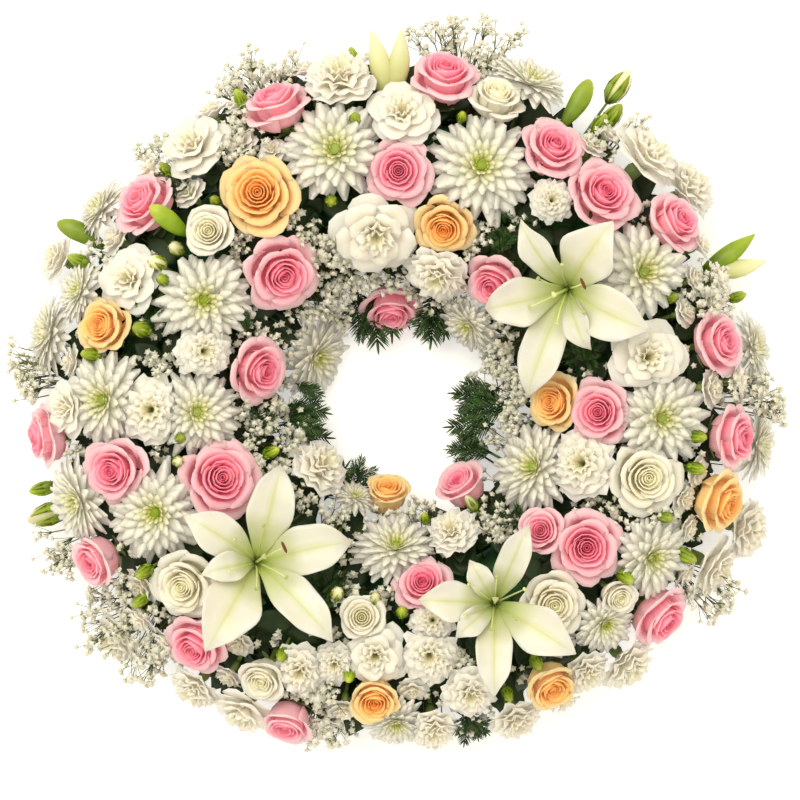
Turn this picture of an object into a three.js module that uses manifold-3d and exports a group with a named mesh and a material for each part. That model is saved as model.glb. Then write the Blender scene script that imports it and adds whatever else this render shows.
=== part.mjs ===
// A round funeral wreath of fresh flowers, lying flat with its flowers up.
// A plastic tray holds a ring of wet floral foam, and every stem stands in a hole of the foam.
// Millimetres, +Z up. The origin is the middle of the wreath on the surface that it lies on.
// x and y of a flower are where it shows from straight above; its height and lean follow from the dome.
import * as THREE from "three";
import { mergeVertices } from "three/addons/utils/BufferGeometryUtils.js";
import Module from "manifold-3d";

const wasm = await Module();
wasm.setup();

// Driving dimensions
const ringRadius = 190; // middle of the foam ring
const foam = { floor: 2.8, shoulder: 44, top: 58, halfFoot: 44, halfWaist: 43, halfTop: 28 };
const tray = { floor: 2.5, rim: 16, wall: 2, halfFoot: 48, halfRim: 50 };
const ringSides = 20;
const dome = { foot: 20, halfWidth: 112, rise: 90, limit: 0.992 };
// How far blooms tilt towards the open middle and outwards, in radians
const facing = { leanPerAngle: 1.08, inward: 0.95, outward: 1.2, most: 1.55 };
// Heads are this much wider than what shows of them and press on each other.
const crowding = { rose: 1.12, mum: 1.34, carnation: 1.34 };
const core = { height: 20, stop: 18 }; // the stems aim at this height inside the foam and stop short of it
const stemGap = 1;
const clearance = 0.35;
const jointAboveFoam = 7; // where a side stem leaves its neighbour's stem
const holeRadius = 50; // nothing but leaf tips grows nearer to the middle
const groundGap = 3;

const colours = {
  tray: 0x1f3b26,
  foam: 0x3f7a45,
  pinkRose: 0xf0a3b4,
  peachRose: 0xf3c27c,
  whiteRose: 0xf3efd9,
  white: 0xf4f2ea,
  lily: 0xeeefdc,
  bud: 0xa9bf5c,
  leaf: 0x2c4a26,
};

// What is told of each flower: its kind, where its face shows, its width, and how it departs from the dome.
const flower = (kind) => (x, y, across, more = {}) => ({ kind, x, y, across, lift: 0, lean: 0, ...more });
const rose = flower("rose");
const mum = flower("mum");
const carnation = flower("carnation");
const lily = flower("lily");
const lilyBud = flower("lilyBud");
const bud = flower("bud");
const mist = flower("mist"); // a cloud of baby's breath
const frond = flower("frond");

// Each entry is one piece: a stem or a bunch whose side stems join the first one above the foam.
const pieces = {
  pink_rose_1: [rose(-97, 240, 58, { lean: 20 })],
  pink_rose_2: [rose(-205, 160, 56, { lean: 6 })],
  pink_roses_3: [rose(-95, 105, 62), rose(-115, 25, 54)],
  pink_roses_4: [rose(2, 187, 58), rose(40, 264, 58)],
  pink_rose_5: [rose(-5, 78, 52)],
  pink_roses_6: [rose(168, 167, 60), rose(128, 205, 54), rose(228, 145, 52)],
  pink_rose_7: [rose(82, 97, 50)],
  pink_rose_8: [rose(167, -10, 55)],
  pink_roses_9: [rose(264, 47, 52), rose(277, -30, 52)],
  pink_roses_10: [rose(155, -120, 60), rose(120, -108, 40)],
  pink_rose_11: [rose(217, -178, 54)],
  pink_roses_12: [rose(57, -74, 44), rose(22, -152, 48)],
  pink_roses_13: [rose(-145, -65, 66), rose(-228, -57, 58)],
  pink_roses_14: [rose(-289, -30, 50), rose(-243, -130, 46)],
  pink_roses_15: [rose(-163, -200, 52), rose(-88, -262, 44)],
  peach_rose_1: [rose(-112, 168, 66)],
  peach_rose_2: [rose(-238, 60, 48)],
  peach_rose_3: [rose(40, 143, 50)],
  peach_rose_4: [rose(132, -2, 48)],
  peach_rose_5: [rose(266, -84, 54)],
  peach_rose_6: [rose(-8, -82, 40)],
  peach_rose_7: [rose(125, -230, 46)],
  peach_rose_8: [rose(-17, -242, 44)],
  white_rose_1: [rose(-152, 137, 44)],
  white_roses_2: [rose(-172, -150, 56), rose(-108, -225, 42)],
  white_rose_3: [rose(-28, -178, 40)],
  white_rose_4: [rose(203, -63, 60)],
  white_roses_5: [rose(128, -166, 54), rose(180, -160, 34)],
  white_rose_6: [rose(82, 246, 48, { lean: 10 })],
  white_bunch_1: [mum(-50, 205, 76), carnation(-45, 262, 52), carnation(5, 233, 48), mist(-95, 272, 44)],
  white_bunch_2: [mum(70, 192, 76), carnation(127, 163, 30), mum(112, 264, 58), mist(60, 292, 48)],
  white_bunch_3: [carnation(207, 200, 52), carnation(242, 176, 44), mist(168, 216, 36)],
  white_bunch_4: [
    mum(217, -15, 66),
    carnation(205, 35, 52),
    mum(203, 105, 70),
    mist(262, 92, 40),
    carnation(153, -52, 48),
    mum(113, -55, 62),
    mist(88, 0, 46),
    mist(80, 38, 40),
  ],
  white_bunch_5: [
    mum(210, -130, 58),
    carnation(263, -138, 46),
    carnation(290, -108, 44),
    mum(304, -38, 48),
    mum(300, 44, 46),
    mist(310, 2, 46, { lift: 6 }),
    mum(172, -184, 46),
    carnation(190, -217, 42),
    carnation(155, -222, 36),
  ],
  white_bunch_6: [carnation(-17, 138, 58), carnation(35, 106, 44), mum(60, 62, 42), mist(-58, 122, 38)],
  white_bunch_7: [
    mum(-157, 82, 68),
    carnation(-158, 40, 38),
    mum(-163, -10, 60),
    carnation(-200, -8, 46),
    mum(-240, 0, 68),
    carnation(-268, -6, 40),
    mum(-66, 36, 56),
    mist(-48, 66, 34),
  ],
  white_bunch_8: [
    carnation(-217, 98, 46),
    mum(-262, 90, 44),
    mum(-290, 55, 54),
    mist(-306, 16, 44, { lift: 6 }),
    carnation(-282, 118, 36),
    mum(-247, 158, 48),
  ],
  white_bunch_9: [carnation(-165, 207, 50), mist(-140, 218, 38)],
  white_bunch_10: [mum(-197, -92, 66), mum(-263, -84, 58), mist(-283, -128, 40)],
  white_bunch_11: [mum(0, -120, 56), mum(-34, -80, 30), carnation(-65, -58, 44), carnation(47, -110, 36)],
  white_bunch_12: [
    carnation(-17, -208, 46),
    carnation(-50, -215, 30),
    carnation(-78, -220, 38),
    mist(-66, -262, 38),
    carnation(27, -208, 40),
    carnation(30, -180, 30),
    carnation(60, -238, 38),
    carnation(98, -262, 36),
    carnation(30, -268, 36),
    mum(0, -266, 44),
  ],
  white_bunch_13: [
    carnation(-125, -256, 44),
    carnation(-165, -237, 36),
    mist(-198, -212, 44),
    carnation(-230, -198, 40),
    mist(-222, -164, 44),
  ],
  lily_1: [lily(136, 88, 150, { lift: 18, spin: 5, anther: true })],
  lily_2: [lily(-112, -130, 150, { lift: 18, spin: 15, anther: true })],
  lily_3: [lily(80, -165, 140, { lift: 16, spin: 2, anther: false })],
  lily_buds_1: [
    lilyBud(-185, 146, 44, { lift: 8, lean: 36 }),
    lilyBud(-262, 138, 46, { lean: 36 }),
    bud(-180, 124, 24),
  ],
  lily_bud_2: [lilyBud(-6, 275, 56, { lean: 30 }), bud(-36, 282, 22, { lean: 30 })],
  lily_buds_3: [
    lilyBud(150, 246, 46, { lean: 34 }),
    bud(186, 262, 34, { lean: 36, lift: 6 }),
    bud(180, 236, 28),
  ],
  lily_bud_4: [lilyBud(281, 116, 50, { lean: 34 })],
  lisianthus_buds: [bud(-292, -96, 36, { lean: 24 }), bud(-296, -74, 24, { lean: 24 })],
  foliage_1: [frond(90, 140, 52), frond(24, 58, 48, { lean: 10 }), bud(54, 232, 16)],
  foliage_2: [frond(152, 42, 50), frond(58, 0, 44), bud(226, 84, 18), bud(284, 86, 18)],
  foliage_3: [frond(56, -36, 46), frond(98, -96, 34), bud(68, -38, 14), bud(24, -98, 14)],
  foliage_4: [frond(-58, -152, 54), frond(-28, -58, 40)],
  foliage_5: [frond(-82, -18, 56), frond(-112, -20, 44), bud(-103, -43, 20)],
  foliage_6: [frond(-22, 60, 48, { lean: 6 }), bud(-53, 163, 20)],
  foliage_7: [frond(-200, 78, 40), frond(-178, 178, 44), bud(-190, 190, 18), bud(-148, 163, 18)],
  foliage_8: [frond(60, -268, 44), bud(92, -242, 18), frond(150, -200, 34)],
};

// Every petal layer of a head is a ring of points: how wide it is, how high it stands above the head's
// middle, both as shares of the head's half width, and how deep the notches between its petals are.
const headShapes = {
  rose: {
    sides: 7,
    tip: 0.5,
    rings: [
      { wide: 0.42, high: -0.58, notch: 0, turn: 0 },
      { wide: 1, high: 0.02, notch: 0.1, turn: 0 },
      { wide: 0.76, high: 0.1, notch: 0, turn: 0 },
      { wide: 0.72, high: 0.42, notch: 0.1, turn: 0.5 },
      { wide: 0.46, high: 0.33, notch: 0, turn: 0.5 },
      { wide: 0.36, high: 0.62, notch: 0.14, turn: 0 },
    ],
  },
  mum: {
    sides: 8,
    tip: 0.3,
    rings: [
      { wide: 0.4, high: -0.3, notch: 0, turn: 0 },
      { wide: 1, high: -0.04, notch: 0.24, turn: 0 },
      { wide: 0.66, high: 0.1, notch: 0, turn: 0.5 },
      { wide: 0.74, high: 0.34, notch: 0.26, turn: 0.5 },
      { wide: 0.3, high: 0.26, notch: 0, turn: 0.5 },
    ],
  },
  carnation: {
    sides: 7,
    tip: 0.42,
    rings: [
      { wide: 0.3, high: -0.6, notch: 0, turn: 0 },
      { wide: 1, high: 0, notch: 0.2, turn: 0 },
      { wide: 0.66, high: 0.2, notch: 0, turn: 0.5 },
      { wide: 0.6, high: 0.56, notch: 0.3, turn: 0.5 },
    ],
  },
  lilyBud: {
    sides: 5,
    tip: 1,
    rings: [
      { wide: 0.16, high: -0.8, notch: 0, turn: 0 },
      { wide: 0.34, high: 0.1, notch: 0.12, turn: 0 },
      { wide: 0.2, high: 0.78, notch: 0.2, turn: 0 },
    ],
  },
  bud: {
    sides: 4,
    tip: 1,
    rings: [
      { wide: 0.3, high: -0.8, notch: 0, turn: 0 },
      { wide: 0.4, high: 0.4, notch: 0, turn: 0 },
    ],
  },
};
// Each lily's petals: degrees from the right in a view from above, reach, full width, how far raised
const lilyPetals = {
  lily_1: [
    [54, 72, 40, 2],
    [120, 68, 28, 0],
    [192, 66, 40, 2],
    [251, 90, 34, 0],
    [296, 54, 24, 0],
    [338, 78, 42, 2],
  ],
  lily_2: [
    [11, 78, 34, 0],
    [77, 80, 44, 2],
    [150, 70, 38, 2],
    [195, 50, 26, 0],
    [240, 84, 42, 0],
    [312, 88, 36, 2],
  ],
  lily_3: [
    [66, 68, 26, 0],
    [120, 44, 24, 0],
    [178, 60, 34, 2],
    [222, 46, 24, 0],
    [270, 74, 34, 2],
    [328, 78, 34, 0],
  ],
};
const lilyShape = {
  throatDepth: 26,
  throatRadius: 3,
  petalThickness: 2,
  channel: 0.16, // how far a petal's middle sinks, as a share of its width
  // along: share of the reach, high: mm above the middle, wide: share of the petal's full width
  stations: [
    { along: 0.04, high: -22, wide: 0.07 },
    { along: 0.4, high: 4, wide: 0.82 },
    { along: 0.78, high: 12, wide: 0.86 },
    { along: 1, high: 6, wide: 0.06 },
  ],
  stamenReach: 26,
  stamenHeight: 16,
  stamenRadius: 1.6,
  antherLength: 9,
};
const mistShape = { branches: 4, floretRadius: 3.4, threadRadius: 0.7, spacing: 2.6 };
const frondShape = { branches: 6, needleRadius: 1, spacing: 2.8 };
const stemOf = {
  rose: { radius: 2.6, sides: 3 },
  mum: { radius: 1.9, sides: 3 },
  carnation: { radius: 1.9, sides: 3 },
  lily: { radius: 2.8, sides: 4 },
  lilyBud: { radius: 1.9, sides: 3 },
  bud: { radius: 1.6, sides: 3 },
  mist: { radius: 2, sides: 3 },
  frond: { radius: 2.2, sides: 3 },
};

const up = new THREE.Vector3(0, 0, 1);
const vector = (x, y, z) => new THREE.Vector3(x, y, z);
const radians = THREE.MathUtils.degToRad;

let seed = 20;
function chance() {
  seed = (seed * 16807) % 2147483647;
  return seed / 2147483647;
}

// Solids
function solid(points, faces) {
  const vertProperties = new Float32Array(points.flatMap((p) => [p.x, p.y, p.z]));
  const triVerts = new Uint32Array(faces.flat());
  return new wasm.Manifold(new wasm.Mesh({ numProp: 3, vertProperties, triVerts }));
}

// Two directions square to the given one, so that first x second points along it.
function crossFrame(along) {
  const helper = Math.abs(along.z) < 0.9 ? up : vector(1, 0, 0);
  const first = helper.clone().cross(along).normalize();
  const second = along.clone().cross(first);
  return { first, second };
}

// A closed body through rings of points, each counter-clockwise seen from the end, which may be a point.
function skin(rings, sides, tip) {
  const points = rings.flat();
  const faces = [];
  for (let k = 1; k < sides - 1; k += 1) faces.push([0, k + 1, k]);
  for (let ring = 0; ring < rings.length - 1; ring += 1) {
    for (let k = 0; k < sides; k += 1) {
      const a = ring * sides + k;
      const b = ring * sides + ((k + 1) % sides);
      faces.push([a, b, b + sides]);
      faces.push([a, b + sides, a + sides]);
    }
  }
  const last = (rings.length - 1) * sides;
  if (tip) {
    points.push(tip);
    for (let k = 0; k < sides; k += 1) faces.push([last + k, last + ((k + 1) % sides), points.length - 1]);
  } else {
    for (let k = 1; k < sides - 1; k += 1) faces.push([last, last + k, last + k + 1]);
  }
  return solid(points, faces);
}

function circle(middle, frame, radius, sides) {
  return Array.from({ length: sides }, (_, k) => {
    const angle = (k / sides) * 2 * Math.PI;
    return middle
      .clone()
      .addScaledVector(frame.first, radius * Math.cos(angle))
      .addScaledVector(frame.second, radius * Math.sin(angle));
  });
}

function rod(from, to, radius, sides) {
  const frame = crossFrame(to.clone().sub(from).normalize());
  return skin([circle(from, frame, radius, sides), circle(to, frame, radius, sides)], sides);
}

// A ring whose cross-section is a closed outline of [distance from ringRadius, z] points.
function hoop(outline) {
  const points = [];
  const faces = [];
  const count = outline.length;
  for (let turn = 0; turn < ringSides; turn += 1) {
    const angle = ((turn + 0.5) / ringSides) * 2 * Math.PI;
    for (const [across, z] of outline) {
      const radius = ringRadius + across;
      points.push(vector(radius * Math.cos(angle), radius * Math.sin(angle), z));
    }
    const next = (turn + 1) % ringSides;
    for (let k = 0; k < count; k += 1) {
      const a = turn * count + k;
      const b = turn * count + ((k + 1) % count);
      const c = next * count + ((k + 1) % count);
      const d = next * count + k;
      faces.push([a, c, b]);
      faces.push([a, d, c]);
    }
  }
  return solid(points, faces);
}

// Where each flower stands
function settle(item, name, order) {
  const outward = vector(item.x, item.y, 0).normalize();
  const reach = Math.hypot(item.x, item.y) - ringRadius;
  const slope = Math.asin(THREE.MathUtils.clamp(reach / dome.halfWidth, -dome.limit, dome.limit));
  const withDome = THREE.MathUtils.clamp(slope * facing.leanPerAngle, -facing.inward, facing.outward);
  const leaning = withDome + Math.sign(slope) * radians(item.lean);
  const tilt = THREE.MathUtils.clamp(leaning, -facing.most, facing.most);
  const middle = vector(item.x, item.y, dome.foot + dome.rise * Math.cos(slope) + item.lift);
  const axis = outward.clone().multiplyScalar(Math.sin(tilt)).addScaledVector(up, Math.cos(tilt));
  const side = vector(-outward.y, outward.x, 0);
  const half = (item.across / 2) * (crowding[item.kind] ?? 1);
  const turn = radians(item.spin === undefined ? chance() * 360 : item.spin);
  const hub = middle.clone().addScaledVector(axis, item.kind === "lily" ? -lilyShape.throatDepth : 0);
  return { ...item, name, order, middle, axis, side, over: axis.clone().cross(side), hub, half, turn };
}

const flowers = Object.entries(pieces).flatMap(([name, list]) =>
  list.map((item, order) => settle(item, name, order)),
);

// Outline of the foam and the tray together, as [distance from ringRadius, z]
const foamOutline = [
  [-foam.halfFoot, foam.floor],
  [foam.halfFoot, foam.floor],
  [foam.halfWaist, foam.shoulder],
  [foam.halfTop, foam.top],
  [-foam.halfTop, foam.top],
  [-foam.halfWaist, foam.shoulder],
];
const trayOutline = [
  [-tray.halfFoot, 0],
  [tray.halfFoot, 0],
  [tray.halfRim, tray.rim],
  [tray.halfRim - tray.wall, tray.rim],
  [tray.halfFoot - tray.wall, tray.floor],
  [tray.wall - tray.halfFoot, tray.floor],
  [tray.wall - tray.halfRim, tray.rim],
  [-tray.halfRim, tray.rim],
];
const baseOutline = [
  [-tray.halfFoot, 0],
  [tray.halfFoot, 0],
  [tray.halfRim, tray.rim],
  [foam.halfWaist + 1, foam.shoulder],
  [foam.halfTop, foam.top],
  [-foam.halfTop, foam.top],
  [-foam.halfWaist - 1, foam.shoulder],
  [-tray.halfRim, tray.rim],
];

// Nearest point of a counter-clockwise outline, and how far outside it the given point is.
function fromOutline(outline, across, z) {
  let best = { gap: Infinity };
  let inside = true;
  outline.forEach(([ax, az], k) => {
    const [bx, bz] = outline[(k + 1) % outline.length];
    const dx = bx - ax;
    const dz = bz - az;
    if (dx * (z - az) - dz * (across - ax) < 0) inside = false;
    const share = THREE.MathUtils.clamp(((across - ax) * dx + (z - az) * dz) / (dx * dx + dz * dz), 0, 1);
    const nearest = [ax + share * dx, az + share * dz];
    const gap = Math.hypot(across - nearest[0], z - nearest[1]);
    if (gap < best.gap) best = { gap, nearest };
  });
  return { gap: inside ? -best.gap : best.gap, nearest: best.nearest };
}

function gapToBase(point) {
  return fromOutline(baseOutline, Math.hypot(point.x, point.y) - ringRadius, point.z).gap;
}

// Stems
const stems = [];
const segmentGap = (a, b) => Math.sqrt(a.distanceSqToLine3(b));

// How much room a stem has: over 0 it clears every other stem and no bloom's middle is in its way.
function room(line, owner, offFoam) {
  let least = 100;
  for (const stem of stems) {
    if (stem.owner.name === owner.name) continue;
    const apart = segmentGap(line, stem.line) - stem.radius - stemOf[owner.kind].radius;
    least = Math.min(least, apart - stemGap);
  }
  const nearest = vector(0, 0, 0);
  for (const other of flowers) {
    if (other.name === owner.name || other === owner) continue;
    line.closestPointToPoint(other.middle, true, nearest);
    const wanted = other.kind === "lily" ? 16 : 0.5 * other.half + 3;
    least = Math.min(least, nearest.distanceTo(other.middle) - wanted);
  }
  if (offFoam) {
    for (let step = 0; step <= 12; step += 1) {
      least = Math.min(least, gapToBase(line.at(step / 12, nearest)) - stemOf[owner.kind].radius - 1);
    }
  }
  return least;
}

function mainStem(item) {
  const azimuth = Math.atan2(item.y, item.x);
  let best = { score: -Infinity };
  for (const shift of [0, 5, -5, 10, -10, 15, -15, 20, -20]) {
    for (const height of [0, 6, 12, -5]) {
      const angle = azimuth + shift / ringRadius;
      const aim = vector(ringRadius * Math.cos(angle), ringRadius * Math.sin(angle), core.height + height);
      const away = item.hub.clone().sub(aim).normalize();
      const foot = aim.addScaledVector(away, core.stop);
      const line = new THREE.Line3(foot, item.hub);
      const score = Math.min(room(line, item, false), 1) - (Math.abs(shift) + Math.abs(height)) * 0.01;
      if (score > best.score) best = { score, line };
    }
  }
  return { owner: item, line: best.line, radius: stemOf[item.kind].radius, main: true, score: best.score };
}

// A side stem leaves another stem of its bunch where it has the most room.
function sideStem(item, joined) {
  let best = { score: -Infinity };
  for (const parent of joined) {
    const trunk = parent.line;
    const length = trunk.distance();
    for (let share = 0; share <= 1; share += 0.05) {
      const from = trunk.at(share, vector(0, 0, 0));
      const belowHead = (1 - share) * length > parent.owner.half * 0.55;
      if (!belowHead || gapToBase(from) < jointAboveFoam) continue;
      const line = new THREE.Line3(from, item.hub);
      const score = Math.min(room(line, item, true), 2) - line.distance() * 0.02;
      if (score > best.score) best = { score, line, parent };
    }
  }
  return { owner: item, line: best.line, radius: stemOf[item.kind].radius, main: false, score: best.score };
}

for (const name of Object.keys(pieces)) {
  const own = flowers.find((item) => item.name === name && item.order === 0);
  stems.push(mainStem(own));
}
for (const name of Object.keys(pieces)) {
  const waiting = flowers.filter((item) => item.name === name && item.order > 0);
  const joined = stems.filter((stem) => stem.owner.name === name);
  while (waiting.length > 0) {
    const options = waiting.map((item) => sideStem(item, joined));
    const next = options.reduce((a, b) => (b.line && (!a.line || b.score > a.score) ? b : a));
    if (!next.line) throw new Error(`no way for a side stem of ${name}`);
    stems.push(next);
    joined.push(next);
    waiting.splice(waiting.indexOf(next.owner), 1);
  }
}

// Lilies spread above their neighbours, so each petal is a row of convex blocks that heads keep clear of.
function lilyPetal(item, index) {
  const [bearing, reach, width, raised] = lilyPetals[item.name][index];
  const angle = radians(bearing) - Math.atan2(item.side.y, item.side.x);
  const out = item.side.clone().multiplyScalar(Math.cos(angle)).addScaledVector(item.over, Math.sin(angle));
  const across = item.axis.clone().cross(out);
  return lilyShape.stations.map(({ along, high, wide }) => {
    const keel = item.middle
      .clone()
      .addScaledVector(out, along * reach)
      .addScaledVector(item.axis, high + raised);
    const halfWide = (width * wide) / 2;
    const edge = keel.clone().addScaledVector(item.axis, width * wide * lilyShape.channel);
    const thick = lilyShape.petalThickness;
    return [
      edge.clone().addScaledVector(across, -halfWide),
      keel.clone().addScaledVector(item.axis, -thick / 2),
      edge.clone().addScaledVector(across, halfWide),
      keel.clone().addScaledVector(item.axis, thick / 2),
    ];
  });
}

// A plane that keeps a point's body clear of a convex block: its normal from the point, and its distance.
function planeAgainst(point, corners, margin) {
  const nearest = corners.reduce((sum, p) => sum.add(p), vector(0, 0, 0)).divideScalar(corners.length);
  const step = vector(0, 0, 0);
  for (let round = 0; round < 80; round += 1) {
    const toward = nearest.clone().sub(point);
    const support = corners.reduce((a, b) => (b.dot(toward) < a.dot(toward) ? b : a));
    step.copy(support).sub(nearest);
    const length = step.lengthSq();
    if (length < 1e-12) break;
    nearest.addScaledVector(step, THREE.MathUtils.clamp(-toward.dot(step) / length, 0, 1));
  }
  const normal = nearest.sub(point).normalize();
  const distance = Math.min(...corners.map((p) => p.clone().sub(point).dot(normal)));
  return { normal, distance: distance - margin };
}

const lilyBlocks = flowers
  .filter((item) => item.kind === "lily")
  .flatMap((item) => {
    const blocks = [];
    for (let index = 0; index < 6; index += 1) {
      const stations = lilyPetal(item, index);
      for (let k = 0; k < stations.length - 1; k += 1) {
        blocks.push({ name: item.name, corners: [...stations[k], ...stations[k + 1]] });
      }
    }
    return blocks;
  });

// The planes that a head may not cross: half way to each neighbour, the stems and lily petals of others,
// the foam and its tray, the ground and the wreath's open middle.
function planesOf(item) {
  const planes = [];
  const { middle, half } = item;
  for (const other of flowers) {
    if (other === item || other.kind === "lily") continue;
    const apart = other.middle.clone().sub(middle);
    const distance = apart.length();
    if (distance > half * 1.05 + other.half + 4) continue;
    const share = half / (half + other.half);
    planes.push({ normal: apart.divideScalar(distance), distance: distance * share - clearance / 2 });
  }
  for (const stem of stems) {
    if (stem.owner.name === item.name) continue;
    const nearest = stem.line.closestPointToPoint(middle, true, vector(0, 0, 0));
    const normal = nearest.sub(middle);
    const distance = normal.length();
    if (distance > half + 6) continue;
    planes.push({ normal: normal.divideScalar(distance), distance: distance - stem.radius - clearance });
  }
  for (const block of lilyBlocks) {
    if (block.name === item.name || block.corners[0].distanceTo(middle) > half + 80) continue;
    planes.push(planeAgainst(middle, block.corners, clearance));
  }
  const away = Math.hypot(middle.x, middle.y);
  const outward = vector(middle.x / away, middle.y / away, 0);
  planes.push({ normal: outward.clone().negate(), distance: away - holeRadius });
  planes.push({ normal: up.clone().negate(), distance: middle.z - groundGap });
  const { gap, nearest } = fromOutline(baseOutline, away - ringRadius, middle.z);
  const toBase = outward
    .clone()
    .multiplyScalar(nearest[0] - (away - ringRadius))
    .addScaledVector(up, nearest[1] - middle.z)
    .normalize();
  planes.push({ normal: toBase, distance: gap - (away < ringRadius ? 5 : 1) });
  return planes;
}

// How far the planes let a body of the given radius go from a head's middle along a direction.
function reachAlong(planes, direction, wanted, radius = 0) {
  let reach = wanted;
  for (const { normal, distance } of planes) {
    const facing = direction.dot(normal);
    if (facing > 1e-6) reach = Math.min(reach, (distance - radius) / facing);
  }
  return reach;
}

function head(item, planes) {
  const { tip, rings, sides } = headShapes[item.kind];
  const at = (wide, high, angle) => {
    const offset = item.axis
      .clone()
      .multiplyScalar(high)
      .addScaledVector(item.side, wide * Math.cos(angle))
      .addScaledVector(item.over, wide * Math.sin(angle));
    const wanted = offset.length() * item.half;
    const direction = offset.normalize();
    const reach = Math.max(reachAlong(planes, direction, wanted), 1);
    return item.middle.clone().addScaledVector(direction, reach);
  };
  const points = rings.map(({ wide, high, notch, turn }) =>
    Array.from({ length: sides }, (_, k) => {
      const angle = item.turn + ((k + turn) / sides) * 2 * Math.PI;
      const cut = k % 2 === 0 ? 1 : 1 - notch;
      return at(wide * cut, high * (k % 2 === 0 ? 1 : 1 + notch * 0.4), angle);
    }),
  );
  const ends = points.flat();
  ends.push(at(0, tip, 0));
  const faces = [];
  for (let ring = 0; ring < rings.length - 1; ring += 1) {
    const twist = rings[ring + 1].turn - rings[ring].turn;
    for (let k = 0; k < sides; k += 1) {
      const next = (k + 1) % sides;
      const [a, b] = [ring * sides + k, ring * sides + next];
      const [c, d] = [(ring + 1) * sides + k, (ring + 1) * sides + next];
      if (twist < 0) {
        faces.push([a, b, d]);
        faces.push([a, d, c]);
      } else {
        faces.push([a, b, c]);
        faces.push([b, d, c]);
      }
    }
  }
  const last = (rings.length - 1) * sides;
  for (let k = 1; k < sides - 1; k += 1) faces.push([0, k + 1, k]);
  for (let k = 0; k < sides; k += 1) faces.push([last + k, last + ((k + 1) % sides), ends.length - 1]);
  for (const [a, b, c] of faces) {
    const [p, q, r] = [a, b, c].map((i) => ends[i].clone().sub(item.middle));
    if (p.cross(q).dot(r) <= 0) throw new Error(`${item.name} ${item.kind} ${item.order}: folded petals`);
  }
  return solid(ends, faces);
}

// Thin branches that leave the end of a stem one above another, each kept inside the planes.
function spray(item, stem, planes) {
  const shape = item.kind === "mist" ? mistShape : frondShape;
  const down = stem.line.start.clone().sub(stem.line.end).normalize();
  const parts = [];
  for (let k = 0; k < shape.branches; k += 1) {
    const rise = (k + 0.5) / shape.branches;
    const lean = 0.1 + 1.3 * Math.sqrt(rise);
    const angle = item.turn + k * 2.399963;
    const direction = item.axis
      .clone()
      .multiplyScalar(Math.cos(lean))
      .addScaledVector(item.side, Math.sin(lean) * Math.cos(angle))
      .addScaledVector(item.over, Math.sin(lean) * Math.sin(angle));
    const wanted = item.half * (k % 2 === 0 ? 1 : 0.8);
    const bodyRadius = item.kind === "mist" ? shape.floretRadius + 0.2 : 0.3;
    const reach = reachAlong(planes, direction, wanted, bodyRadius);
    if (reach < 6) continue;
    const hub = item.hub.clone().addScaledVector(down, k * shape.spacing);
    const offset = hub.clone().sub(item.middle);
    if (planes.some(({ normal, distance }) => offset.dot(normal) > distance - 1.5)) continue;
    const tip = item.hub.clone().addScaledVector(direction, reach);
    parts.push(item.kind === "mist" ? mistBranch(hub, tip) : frondNeedle(hub, tip));
  }
  return parts;
}

function mistBranch(hub, tip) {
  const { floretRadius, threadRadius } = mistShape;
  const along = tip.clone().sub(hub);
  const length = along.length();
  const frame = crossFrame(along.clone().normalize());
  const at = (beforeTip) => hub.clone().addScaledVector(along, 1 - beforeTip / length);
  const rings = [
    circle(at(length), frame, threadRadius, 3),
    circle(at(floretRadius * 1.7), frame, threadRadius, 3),
    circle(at(floretRadius * 0.8), frame, floretRadius, 3),
  ];
  return skin(rings, 3, tip);
}

function frondNeedle(hub, tip) {
  const frame = crossFrame(tip.clone().sub(hub).normalize());
  return skin([circle(hub, frame, frondShape.needleRadius, 3)], 3, tip);
}

function lilyHead(item) {
  const parts = [];
  for (let index = 0; index < 6; index += 1) parts.push(skin(lilyPetal(item, index), 4));
  const throat = item.hub;
  const { stamenReach, stamenHeight, stamenRadius, antherLength, throatRadius } = lilyShape;
  for (let index = 0; index < 7; index += 1) {
    const angle = item.turn + ((index + 0.5) / 6) * 2 * Math.PI;
    const out = item.side
      .clone()
      .multiplyScalar(Math.cos(angle))
      .addScaledVector(item.over, Math.sin(angle));
    const spread = index < 6 ? stamenReach : 4;
    const tip = item.middle
      .clone()
      .addScaledVector(out, spread)
      .addScaledVector(item.axis, index < 6 ? stamenHeight : stamenHeight + 6);
    const from = throat.clone().addScaledVector(out, index < 6 ? throatRadius * 0.5 : 0);
    parts.push(skin([circle(from, crossFrame(tip.clone().sub(from).normalize()), stamenRadius, 3)], 3, tip));
    if (index === 0 && item.anther) {
      const across = item.axis.clone().cross(out).multiplyScalar(antherLength / 2);
      parts.push(rod(tip.clone().sub(across), tip.clone().add(across), stamenRadius, 3));
    }
  }
  const [below, above] = [-4, 7].map((along) => throat.clone().addScaledVector(item.axis, along));
  parts.push(rod(below, above, 7, 5));
  return parts;
}

// The wreath
const group = new THREE.Group();

function addMesh(name, body, material) {
  const { vertProperties, triVerts, numProp } = body.getMesh();
  const positions = new Float32Array(triVerts.length * 3);
  triVerts.forEach((index, k) => {
    for (let axis = 0; axis < 3; axis += 1) positions[k * 3 + axis] = vertProperties[index * numProp + axis];
  });
  const geometry = new THREE.BufferGeometry();
  geometry.setAttribute("position", new THREE.BufferAttribute(positions, 3));
  const mesh = new THREE.Mesh(mergeVertices(geometry, 1e-5), material);
  mesh.geometry.computeVertexNormals();
  mesh.name = name;
  group.add(mesh);
}

const cellsOf = new Map(flowers.map((item) => [item, item.kind === "lily" ? [] : planesOf(item)]));

function bodyOf(stem) {
  const item = stem.owner;
  if (item.kind === "lily") return lilyHead(item);
  if (item.kind === "mist" || item.kind === "frond") return spray(item, stem, cellsOf.get(item));
  return [head(item, cellsOf.get(item))];
}

const material = (color, roughness) => new THREE.MeshStandardMaterial({ color, roughness, metalness: 0 });

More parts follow.
